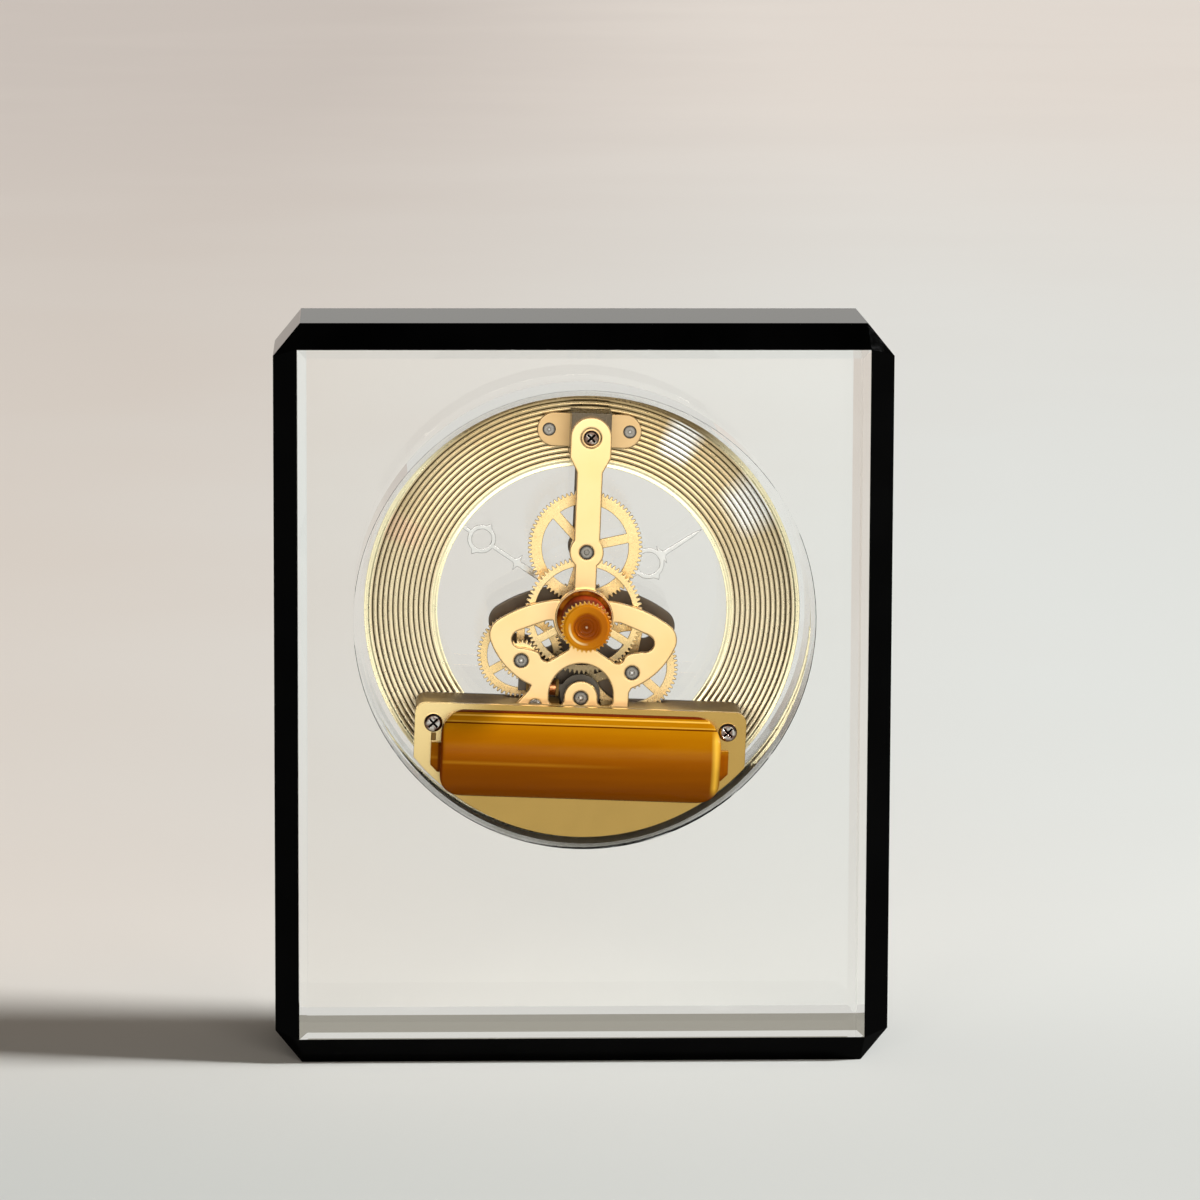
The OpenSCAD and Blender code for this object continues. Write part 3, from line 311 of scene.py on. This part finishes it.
# Radii of the arbor and of its bright pivot in the middle of a wheel, in millimetres
ARBOR_R = 0.9
PIVOT_R = 0.14
RING_LIT_LOW = (1.0, 0.88, 0.62)
RING_SHADED_HIGH = (0.62, 0.47, 0.25)
RING_CROWN = (0.30, 0.21, 0.10)
RING_EDGE_HIGHLIGHT = (1.0, 0.92, 0.62)
RING_TOP_EDGE_SHADE = (0.22, 0.16, 0.08)
RING_GROOVE_SHADE = (0.06, 0.04, 0.016)
SHADE_DARK = (0.10, 0.08, 0.06)
SHADE_LIGHT = (0.17, 0.14, 0.11)
BRACKET_DARK = (0.57, 0.385, 0.185)
BRACKET_LIGHT = (0.66, 0.465, 0.245)
BASE_SHADED = (0.52, 0.34, 0.10)
BASE_LIT = (0.95, 0.74, 0.36)
BASE_WORN = (0.44, 0.28, 0.08)
COLLAR_REFLECTION_DARK = (0.10, 0.012, 0.001)
COLLAR_REFLECTION_LIGHT = (0.42, 0.13, 0.01)
SLEEVE_SHADE = (0.55, 0.54, 0.52)

# Rings of a turned bush and of a screw head, from the middle to the outside; the darkest outer rings are
# painted shade round the seat and the head's rim
BUSH_RINGS = ((0, (0.75, 0.74, 0.72)), (0.10, (0.55, 0.54, 0.52)), (0.2, STEEL_DARK),
              (0.52, STEEL_LIGHT), (0.74, STEEL_DARK), (0.86, (0.05, 0.045, 0.038)),
              (1, (0.07, 0.06, 0.05)))
HEAD_RINGS = ((0, (0.7, 0.68, 0.65)), (0.6, (0.72, 0.70, 0.66)), (0.8, (0.42, 0.37, 0.31)),
              (0.93, (0.10, 0.08, 0.06)))
HEAD_REFLECTION = (0.14, 0.06, 0.035)
CROSS_SHADE = (0.004, 0.0035, 0.003)

# Amber of the cover as painted light and shade, darker on faces turned down and lighter on faces turned
# up, from faces turned down to faces turned up
COVER_TONES = ((0, (0.19, 0.045, 0.0004)), (0.3, (0.25, 0.065, 0.0004)), (0.5, (0.33, 0.09, 0.0005)),
               (0.72, (0.42, 0.145, 0.0008)), (1, (0.49, 0.20, 0.002)))
COVER_SUN_HIGHLIGHT = (0.88, 0.50, 0.05)
COVER_STREAK = (0.62, 0.28, 0.015)
COVER_END_SHADE = (0.16, 0.03, 0.0006)
# Painted lines along the cover, a line of shade with a highlight above it below the rim, a highlight along
# the rim and shade in the gap at the top edge: their height, half width in millimetres and tone
COVER_RIM = COVER_HALF - 2.2 * MM
COVER_LINES = ((COVER_RIM + 0.3 * MM, 0.06, (0.62, 0.32, 0.03)),
               (COVER_RIM, 0.06, (0.10, 0.015, 0.0005)),
               (COVER_HALF - 0.85 * MM, 0.08, (0.85, 0.48, 0.07)),
               (COVER_HALF, 0.38, (0.16, 0.012, 0.0004)))

# Amber of the knob's face, from its nub to its rim, its painted shade and painted highlight, and of its
# body, painted dark as shade
KNOB_TONES = ((0, (0.95, 0.75, 0.5)), (0.07, (0.24, 0.05, 0.001)), (0.5, (0.34, 0.08, 0.001)),
              (0.6, (0.62, 0.22, 0.003)), (0.88, (0.68, 0.26, 0.005)), (1, (0.95, 0.58, 0.10)))
KNOB_SHADE = (0.34, 0.055, 0.0005)
KNOB_CRESCENT_HIGHLIGHT = (1.0, 0.80, 0.42)
KNOB_BODY_SHADE_DARK = (0.10, 0.004, 0.0003)
KNOB_BODY_SHADE_LIGHT = (0.36, 0.035, 0.0005)


def glass(name, colour, ior, rough, tint):
    tree = Tree(name)
    tree.set(Base_Color=colour, IOR=ior, Transmission_Weight=1.0)
    tree.roughen(tree.noise(40), *rough)
    tree.let_lamps_through(tint)
    return tree.mat


def film(name, colour, ior, rough):
    """Thin clear plastic: it mirrors by the angle, with painted shade low down beside the movement, and is
    clear otherwise.
    """
    tree = Tree(name)
    tree.set(Metallic=1.0)
    _, depth, height = tree.parts()
    rear = top_of("clear_sleeve")
    reach = rear - RING_FACE
    # Painted shade on the deeper, lower part of the sleeve beside the movement
    inner = tree.ramp(depth, 1, 0, RING_FACE + 0.42 * reach, RING_FACE + 0.52 * reach)
    low = tree.ramp(height, 1, 0, *from_axis(-20, -6))
    tree.paint(tree.blend(tree.sum("MULTIPLY", inner, low), colour, SLEEVE_SHADE))
    tree.roughen(tree.noise(CLOUD), *rough)
    mirror = tree.nodes.new("ShaderNodeFresnel")
    mirror.inputs["IOR"].default_value = ior
    # Two walls and the bore behind them mirror together nearly all the light that only grazes them
    tree.link(tree.ramp(mirror.outputs["Fac"], 0.03, 0.97, 0.04, 0.3), tree.shader.inputs["Alpha"])
    return tree.mat


def bare_metal(name, soft, samples=6):
    """The start of most metals here: their edges are softened by a radius in millimetres."""
    tree = Tree(name)
    tree.set(Metallic=1.0)
    tree.soften(soft, samples)
    return tree


def metal(name, dark, light, rough, grain=GRAIN, strength=0.02, stretch=None, edge=None, soft=0.15):
    """Metal whose colour and roughness vary a little, with a fine grain and, if asked, edges darkened as
    painted shade.
    """
    tree = bare_metal(name, soft)
    colour = tree.mottle(CLOUD, dark, light)
    if edge:
        colour = tree.blend(tree.edge(), colour, edge)
    tree.paint(colour)
    fine = tree.noise(grain, 6, stretch)
    tree.roughen(fine, *rough)
    tree.bump(fine, strength, 0.02)
    return tree.mat


def wheel_gold(name, centre, shade_r=0):
    """Gold wheel with edges darkened as painted shade round a steel arbor, and painted shade low down
    behind the back plate.
    """
    tree = bare_metal(name, 0.2, 12)
    gold = tree.mottle(90, WHEEL_DARK, WHEEL_LIGHT)
    gold = tree.blend(tree.edge(), gold, GOLD_EDGE_SHADE)
    # Painted shade low down behind the back plate
    if shade_r:
        _, _, height = tree.parts()
        low = tree.ramp(height, 1, 0, *from_axis(-10, -4))
        near = tree.ramp(tree.away(AXIS), 1, 0, (shade_r - 1.5) * MM, shade_r * MM)
        gold = tree.blend(tree.sum("MULTIPLY", low, near), gold, WHEEL_SHADE)
    away = tree.away(centre)
    steel = tree.blend(tree.ramp(away, 0, 1, PIVOT_R * MM, (PIVOT_R + 0.06) * MM), PIVOT_TONE, STEEL_LIGHT)
    colour = tree.blend(tree.ramp(away, 0, 1, ARBOR_R * MM, (ARBOR_R + 0.05) * MM), steel, gold)
    tree.paint(colour)
    tree.roughen(tree.noise(GRAIN, 6), 0.25, 0.34)
    return tree.mat


def back_gold(name):
    """Gold plate with a dark painted reflection of the amber knob inside the knob's collar, and painted
    shade along its edges.
    """
    tree = bare_metal(name, 0.55)
    gold = tree.mottle(CLOUD, GOLD_DARK, GOLD_LIGHT)
    gold = tree.blend(tree.edge(), gold, GOLD_EDGE_SHADE)
    # Painted reflection of the amber knob inside the collar
    collar_mask = tree.ramp(tree.away(AXIS), 1, 0, COLLAR_BORE, COLLAR_BORE + 0.1 * MM)
    amber = tree.mottle(500, COLLAR_REFLECTION_DARK, COLLAR_REFLECTION_LIGHT)
    tree.paint(tree.blend(collar_mask, gold, amber))
    fine = tree.noise(GRAIN, 6)
    tree.roughen(fine, 0.3, 0.36)
    tree.bump(fine, 0.02, 0.02)
    return tree.mat


def bush_steel(name, centres, outer):
    """Steel disc turned in rings: a pale middle in a seat darkened as painted shade."""
    tree = bare_metal(name, 0.08)
    away = tree.ramp(tree.nearest(centres), 0, 1, 0, outer * MM)
    grain = tree.ramp(tree.noise(1800), -0.04, 0.04)
    tree.paint(tree.stops(tree.sum("ADD", away, grain), BUSH_RINGS))
    tree.roughen(tree.noise(2000), 0.2, 0.3)
    return tree.mat


def cross_head(name, centres, top, head_r):
    """Dark chrome screw head with patches of painted reflection, a rim of painted shade and a cross
    painted black as shade.
    """
    tree = bare_metal(name, 0.18)
    _, depth, _ = tree.parts()
    away = tree.nearest(centres)
    tone = tree.stops(tree.ramp(away, 0, 1, 0, head_r * MM), HEAD_RINGS)
    # Painted reflection: the polished head mirrors dark and amber surroundings in patches
    tone = tree.blend(tree.ramp(tree.noise(650, 2), 0, 0.85, 0.42, 0.56), tone, HEAD_REFLECTION)
    # The cross lies below the head's top face, within its flat part, and is painted near black as the
    # shade in its recess
    low = tree.ramp(depth, 1, 0, top - 0.1 * MM, top - 0.03 * MM)
    within = tree.sum("LESS_THAN", away, head_r * 0.69 * MM)
    cross = tree.sum("MULTIPLY", low, within)
    tree.paint(tree.blend(cross, tone, CROSS_SHADE))
    tree.roughen(tree.noise(900), 0.08, 0.16)
    return tree.mat


def plastic(name, dark, light, rough, grain=900, strength=0.1, **extra):
    tree = Tree(name)
    tree.set(**extra)
    tree.paint(tree.mottle(80, dark, light))
    fine = tree.noise(grain, 4)
    tree.roughen(fine, *rough)
    tree.bump(fine, strength, 0.02)
    return tree.mat


def turned_ring(name):
    """Turned gold: crowned bands with grooves between them, painted brown as shade on the back face alone,
    and painted light: darker toward the top, glints and pale borders.
    """
    tree = Tree(name)
    tree.set(Metallic=1.0, Anisotropic=0.12)
    _, depth, height = tree.parts()
    away = tree.away(AXIS)
    # Painted shade: the ring is lighter low down and darker toward the top
    high = tree.sum("ADD", tree.ramp(height, 0, 1, *from_axis(-5, 38)),
                    tree.ramp(tree.noise(CLOUD), -0.1, 0.1))
    gold = tree.blend(high, RING_LIT_LOW, RING_SHADED_HIGH)
    for turn, half, tone in GLINTS:
        along, across = tree.turned(AXIS, turn)
        beam = tree.band(tree.sum("DIVIDE", across, away), 0, half * 0.4, half * 0.6)
        ahead = tree.sum("GREATER_THAN", along, 0)
        outer = tree.ramp(away, 0, 1, RING_HOLE_R + 5 * MM, RING_HOLE_R + 8 * MM)
        glint = tree.sum("MULTIPLY", tree.sum("MULTIPLY", beam, ahead), outer)
        gold = tree.blend(glint, gold, tone)
    step = tree.sum("DIVIDE", tree.sum("SUBTRACT", away, RING_HOLE_R + RING_BORDER), GROOVE_PITCH)
    wave = tree.sum("COSINE", tree.sum("MULTIPLY", step, 2 * math.pi))
    # The wave is lowest in the middle of each groove
    in_groove = tree.ramp(wave, 1, 0, -0.82, -0.4)
    crown = tree.ramp(wave, 0, 0.55, 0.93, 0.99)
    gold = tree.blend(crown, gold, RING_CROWN)
    back = tree.ramp(depth, 0, 1, RING_FACE - GROOVE_D * 1.4, RING_FACE - GROOVE_D * 1.2)
    inside = tree.sum("GREATER_THAN", away, RING_HOLE_R + RING_BORDER)
    outside = tree.sum("LESS_THAN", away, RING_R - RING_BORDER)
    grooved = tree.sum("MULTIPLY", inside, outside)
    # Painted highlight: the plain borders beside the grooves are pale
    gold = tree.blend(grooved, RING_EDGE_HIGHLIGHT, gold)
    # Painted shade: the outer border turns dark toward the top
    top = tree.ramp(height, 0, 1, *from_axis(28, 37))
    rim = tree.sum("SUBTRACT", 1, outside)
    gold = tree.blend(tree.sum("MULTIPLY", top, rim), gold, RING_TOP_EDGE_SHADE)
    # Painted shade: the grooves on the back face are dark brown
    dark = tree.sum("MULTIPLY", tree.sum("MULTIPLY", in_groove, back), grooved)
    tree.paint(tree.blend(dark, gold, RING_GROOVE_SHADE))
    tree.roughen(tree.noise(1500), 0.26, 0.34)
    turn = tree.nodes.new("ShaderNodeTangent")
    turn.direction_type = "RADIAL"
    turn.axis = "Y"
    tree.link(turn.outputs["Tangent"], tree.shader.inputs["Tangent"])
    tree.bump(wave, 0.8, 0.06)
    return tree.mat


def front_gold(name):
    """The front plate lies in the shade of the back plate, and only its bracket shines."""
    tree = bare_metal(name, 0.4)
    _, _, height = tree.parts()
    lit = tree.ramp(height, 0, 1, *from_axis(31, 32.5))
    shade = tree.mottle(70, SHADE_DARK, SHADE_LIGHT)
    gold = tree.mottle(CLOUD, BRACKET_DARK, BRACKET_LIGHT)
    gold = tree.blend(tree.edge(), gold, GOLD_EDGE_SHADE)
    tree.paint(tree.blend(lit, shade, gold))
    tree.roughen(tree.noise(GRAIN), 0.28, 0.36)
    return tree.mat


def base_gold(name):
    """Base plate of deeper gold, brighter toward its upper left corner as seen from the back as painted
    light, with painted shade along its edges.
    """
    tree = bare_metal(name, 0.15)
    x, _, z = tree.parts()
    # Painted light: brighter toward the upper left corner
    toward = tree.sum("ADD", x, tree.sum("MULTIPLY", z, 0.35))
    start = AXIS[0] + 0.35 * AXIS[2]
    lit = tree.ramp(toward, 0, 1, start + 10 * MM, start + 24 * MM, True)
    gold = tree.blend(lit, BASE_SHADED, BASE_LIT)
    worn = tree.blend(tree.ramp(tree.noise(CLOUD), 0, 0.2), gold, BASE_WORN)
    tree.paint(tree.blend(tree.edge(), worn, GOLD_EDGE_SHADE))
    tree.roughen(tree.noise(300), 0.24, 0.27)
    return tree.mat


def amber_cover(name):
    """Amber plastic painted with light and shade: it glows toward the light above and at its sunny end,
    and darkens below.
    """
    tree = Tree(name)
    tree.set(Specular_IOR_Level=0.025)
    tree.soften(1.7, 8)
    facing = tree.nodes.new("ShaderNodeSeparateXYZ")
    tree.link(tree.soft_normal, facing.inputs["Vector"])
    flow = tree.ramp(tree.noise(300, 5, (0.08, 1, 1)), -0.07, 0.07)
    # Painted light and shade: faces turned up are lighter, faces turned down darker
    light_by_facing = tree.sum("ADD", tree.sum("MULTIPLY", facing.outputs["Z"], 0.5), 0.5)
    colour = tree.stops(tree.sum("ADD", light_by_facing, flow), COVER_TONES)
    along, up = tree.turned(centre_of("battery_cover"), TURN)
    # A painted highlight at the sunny end, a thin pale streak below the middle, painted lines of shade and
    # highlight along the rims, and painted shade at the dark end
    sunny = tree.band(along, 0.9 * MM - COVER_END, 0.1 * MM, 0.9 * MM)
    sunny = tree.sum("MULTIPLY", sunny, tree.band(up, 0, COVER_HALF - 4 * MM, 2.2 * MM))
    colour = tree.blend(sunny, colour, COVER_SUN_HIGHLIGHT)
    streak = tree.sum("MULTIPLY", tree.band(up, -1.0 * MM, 0.05 * MM, 0.45 * MM),
                      tree.ramp(along, 0, 0.4, -12 * MM, 8 * MM))
    colour = tree.blend(streak, colour, COVER_STREAK)
    for at, half, tone in COVER_LINES:
        colour = tree.blend(tree.band(up, at, half * MM, 0.1 * MM), colour, tone)
    end = tree.band(along, COVER_END, 0.3 * MM, 0.3 * MM)
    colour = tree.blend(end, colour, COVER_END_SHADE)
    tree.paint(colour)
    tree.roughen(tree.noise(500), 0.18, 0.25)
    return tree.mat


def amber_knob(name):
    """The same amber: a body painted dark red as shade, a yellow ridged rim and a brown dish with a pale
    nub, with painted shade and a painted highlight on the face.
    """
    tree = Tree(name)
    tree.set(Specular_IOR_Level=0.06)
    tree.soften(0.2)
    x, depth, _ = tree.parts()
    away = tree.ramp(tree.away(AXIS), 0, 1, 0, KNOB_R)
    flow = tree.ramp(tree.noise(500), -0.02, 0.02)
    face = tree.stops(tree.sum("ADD", away, flow), KNOB_TONES)
    # Painted shade across the face, darker toward its -X side
    toward = tree.ramp(x, 0.6, 0, AXIS[0] - 4 * MM, AXIS[0] + 3 * MM)
    face = tree.blend(toward, face, KNOB_SHADE)
    # A painted highlight, a bright crescent, lies along the sunny side of the dish
    along, _ = tree.turned(AXIS, math.radians(-40))
    ahead = tree.ramp(tree.sum("DIVIDE", along, tree.away(AXIS)), 0, 0.85, 0.55, 0.95)
    crescent_highlight = tree.sum("MULTIPLY", tree.band(away, 0.66, 0.025, 0.03), ahead)
    face = tree.blend(crescent_highlight, face, KNOB_CRESCENT_HIGHLIGHT)
    rim_start = top_of("setting_knob") - 1.7 * MM
    in_front = tree.ramp(depth, 0, 1, rim_start - 0.1 * MM, rim_start)
    # The body is painted dark red as shade
    body = tree.mottle(200, KNOB_BODY_SHADE_DARK, KNOB_BODY_SHADE_LIGHT)
    tree.paint(tree.blend(in_front, body, face))
    tree.roughen(in_front, 0.6, 0.22, 0, 1)
    return tree.mat


materials = {
    "crystal": glass("crystal", (0.99, 0.998, 0.99), 1.52, (0.0, 0.003), (0.97, 0.98, 0.975)),
    "clear_plastic": film("clear_plastic", (0.95, 0.96, 0.96), 1.49, (0.0, 0.02)),
    "black_glass": plastic("black_glass", (0.0003, 0.0003, 0.0003), (0.0008, 0.0008, 0.0008),
                           (0.02, 0.05), strength=0.005, Specular_IOR_Level=0.03),
    "gold_ring": turned_ring("gold_ring"),
    "gold_plate": metal("gold_plate", GOLD_DARK, GOLD_LIGHT, (0.3, 0.36), edge=GOLD_EDGE_SHADE, soft=0.5),
    "gold_wheel": wheel_gold("gold_wheel", AXIS, CENTRE_SHADE_R),
    "print_black": plastic("print_black", (0.012, 0.009, 0.007), (0.02, 0.015, 0.012), (0.4, 0.55)),
    "dark_metal": metal("dark_metal", (0.06, 0.05, 0.035), (0.12, 0.10, 0.07), (0.2, 0.35), 2000),
    "dark_plastic": plastic("dark_plastic", (0.23, 0.135, 0.04), (0.42, 0.27, 0.09), (0.35, 0.5), GRAIN,
                            Specular_IOR_Level=0.04),
    "steel": metal("steel", STEEL_DARK, STEEL_LIGHT, (0.2, 0.3), 2000),
    "bright_screw": metal("bright_screw", (0.42, 0.40, 0.38), (0.6, 0.58, 0.56), (0.06, 0.12), 2000),
    # The hands' outlines are darkened as painted shade
    "silver_hand": metal("silver_hand", (0.74, 0.74, 0.73), (0.86, 0.86, 0.85), (0.12, 0.22), 1500,
                         edge=(0.05, 0.05, 0.048), soft=0.2),
    "amber_plastic": amber_cover("amber_plastic"),
    "cell_jacket": plastic("cell_jacket", (0.03, 0.034, 0.04), (0.05, 0.055, 0.062), (0.3, 0.4)),
    "copper_wire": metal("copper_wire", (0.62, 0.25, 0.10), (0.75, 0.34, 0.16), (0.25, 0.4), 3000, 0.4,
                         (8, 1, 1)),
    "board_green": plastic("board_green", (0.02, 0.09, 0.04), (0.03, 0.12, 0.055), (0.35, 0.45)),
    "iron": metal("iron", (0.10, 0.09, 0.075), (0.17, 0.155, 0.13), (0.35, 0.5), 2000),
}

# Finishes of single nodes that differ from the rest of their slot
finishes = {
    "front_plate": front_gold("front_gold"),
    "back_plate": back_gold("back_gold"),
    "post_block": metal("post_metal", (0.07, 0.055, 0.038), (0.15, 0.12, 0.085), (0.2, 0.3)),
    "base_plate": base_gold("base_gold"),
    "setting_knob": amber_knob("amber_knob"),
    "plate_bushes": bush_steel("bush_steel", [UPPER, LEFT, RIGHT, ROTOR], BUSH_R),
    "bracket_rivets": bush_steel("rivet_steel", halves("bracket_rivets"), RIVET_R),
    "arm_screw": cross_head("arm_screw_chrome", [centre_of("arm_screw")], top_of("arm_screw"), ARM_HEAD_R),
    "base_screws": cross_head("base_screw_chrome", SCREWS, top_of("base_screws"), BASE_HEAD_R),
    "upper_wheel": wheel_gold("upper_gold", UPPER),
    "left_wheel": wheel_gold("left_gold", LEFT, SIDE_SHADE_R),
    "left_pinion": wheel_gold("left_pinion_gold", LEFT),
    "right_wheel": wheel_gold("right_gold", RIGHT, SIDE_SHADE_R),
    "right_pinion": wheel_gold("right_pinion_gold", RIGHT),
    "rotor_pinion": wheel_gold("rotor_gold", ROTOR),
}

# Every node takes the material of its slot, or its own finish
for row in frame["record"]["subparts"]:
    mesh = nodes[row["node"]].data
    mesh.materials.clear()
    mesh.materials.append(finishes.get(row["node"], materials[row["material_slot"]]))


def studio_floor():
    """One wide floor with painted light: cooler and lighter toward the sun's side, and warmer far away."""
    bpy.ops.mesh.primitive_circle_add(vertices=128, radius=FLOOR_R * MM, fill_type="NGON",
                                      location=(0, 0, 0))
    floor = bpy.context.object
    floor.name = "studio_floor"
    tree = Tree("studio_floor")
    tree.set(Roughness=0.9, Specular_IOR_Level=0.1)
    x, y, _ = tree.parts()
    soft = tree.ramp(tree.noise(3, 3), -0.06, 0.06)
    across = tree.sum("SUBTRACT", x, tree.sum("MULTIPLY", y, 0.04))
    left = tree.sum("ADD", tree.ramp(across, 0, 1, -0.2, 0.25, True), soft)
    # Painted light across the floor, toward the sun's side and from near to far
    near, middle, distant = [tree.blend(left, *pair) for pair in (FLOOR_NEAR, FLOOR_MID, FLOOR_FAR)]
    colour = tree.blend(tree.ramp(y, 0, 1, -0.15, 0.15, True), middle, near)
    colour = tree.blend(tree.ramp(y, 1, 0, -3.5, -0.4, True), colour, distant)
    tree.paint(colour)
    floor.data.materials.append(tree.mat)


def studio_world():
    """Plain light for the object, and a backdrop that is pale behind it and dim behind the camera."""
    world = bpy.data.worlds.new("studio")
    bpy.context.scene.world = world
    world.use_nodes = True
    nodes_of, link = world.node_tree.nodes, world.node_tree.links.new

    def mix(amount, first, second):
        node = nodes_of.new("ShaderNodeMix")
        node.data_type = "RGBA"
        for key, value in (("Factor", amount), ("A", first), ("B", second)):
            if isinstance(value, tuple):
                node.inputs[key].default_value = (*value, 1)
            else:
                link(value, node.inputs[key])
        return node.outputs["Result"]

    def step(source, start, end):
        node = nodes_of.new("ShaderNodeMapRange")
        node.interpolation_type = "SMOOTHSTEP"
        node.inputs["From Min"].default_value = start
        node.inputs["From Max"].default_value = end
        link(source, node.inputs["Value"])
        return node.outputs["Result"]

    coords = nodes_of.new("ShaderNodeTexCoord")
    parts = nodes_of.new("ShaderNodeSeparateXYZ")
    link(coords.outputs["Generated"], parts.inputs["Vector"])
    behind_clock = mix(step(parts.outputs["Z"], *HORIZON), BACKDROP_LOW, BACKDROP_HIGH)
    seen = mix(step(parts.outputs["Y"], *CAMERA_SIDE), behind_clock, BEHIND_CAMERA)
    path = nodes_of.new("ShaderNodeLightPath")
    direct = path.outputs["Is Camera Ray"]
    for ray in ("Is Glossy Ray", "Is Transmission Ray"):
        either = nodes_of.new("ShaderNodeMath")
        either.operation = "MAXIMUM"
        link(direct, either.inputs[0])
        link(path.outputs[ray], either.inputs[1])
        direct = either.outputs["Value"]
    back = nodes_of["Background"]
    plain = tuple(AMBIENT * c for c in AMBIENT_COLOUR)
    link(mix(direct, plain, seen), back.inputs["Color"])


def key_sun():
    data = bpy.data.lights.new("key_sun", "SUN")
    data.energy = SUN_POWER
    data.color = SUN_COLOUR
    data.angle = math.radians(SUN_SPREAD)
    obj = bpy.data.objects.new("key_sun", data)
    bpy.context.scene.collection.objects.link(obj)
    obj.rotation_euler = Vector(SUN_FROM).to_track_quat("Z", "Y").to_euler()


def soft_box():
    """A broad lamp over the camera that faces the clock."""
    data = bpy.data.lights.new("fill", "AREA")
    data.shape = "RECTANGLE"
    data.size = FILL_SIZE[0] * MM
    data.size_y = FILL_SIZE[1] * MM
    data.energy = FILL_POWER
    data.color = FILL_COLOUR
    obj = bpy.data.objects.new("fill", data)
    bpy.context.scene.collection.objects.link(obj)
    place = [c * MM for c in FILL_AT]
    obj.location = place
    toward = [FILL_AIM[k] * MM - place[k] for k in range(3)]
    length = math.sqrt(sum(c * c for c in toward))
    yaw = math.atan2(toward[1], toward[0])
    tilt = math.acos(-toward[2] / length)
    obj.rotation_euler = (tilt, 0, yaw - math.pi / 2)
    # The lamp shows in metal, and not as a second picture in the corners of the crystal
    obj.visible_transmission = False


def photo_camera():
    data = bpy.data.cameras.new("photo_camera")
    data.lens = LENS
    data.sensor_width = SENSOR_W
    data.clip_end = CLIP_END
    obj = bpy.data.objects.new("photo_camera", data)
    obj.location = [c * MM for c in CAMERA_AT]
    obj.rotation_euler = [math.radians(c) for c in CAMERA_TURN]
    bpy.context.scene.collection.objects.link(obj)
    bpy.context.scene.camera = obj


studio_floor()
studio_world()
key_sun()
soft_box()
photo_camera()
bpy.context.scene.view_settings.view_transform = "Standard"
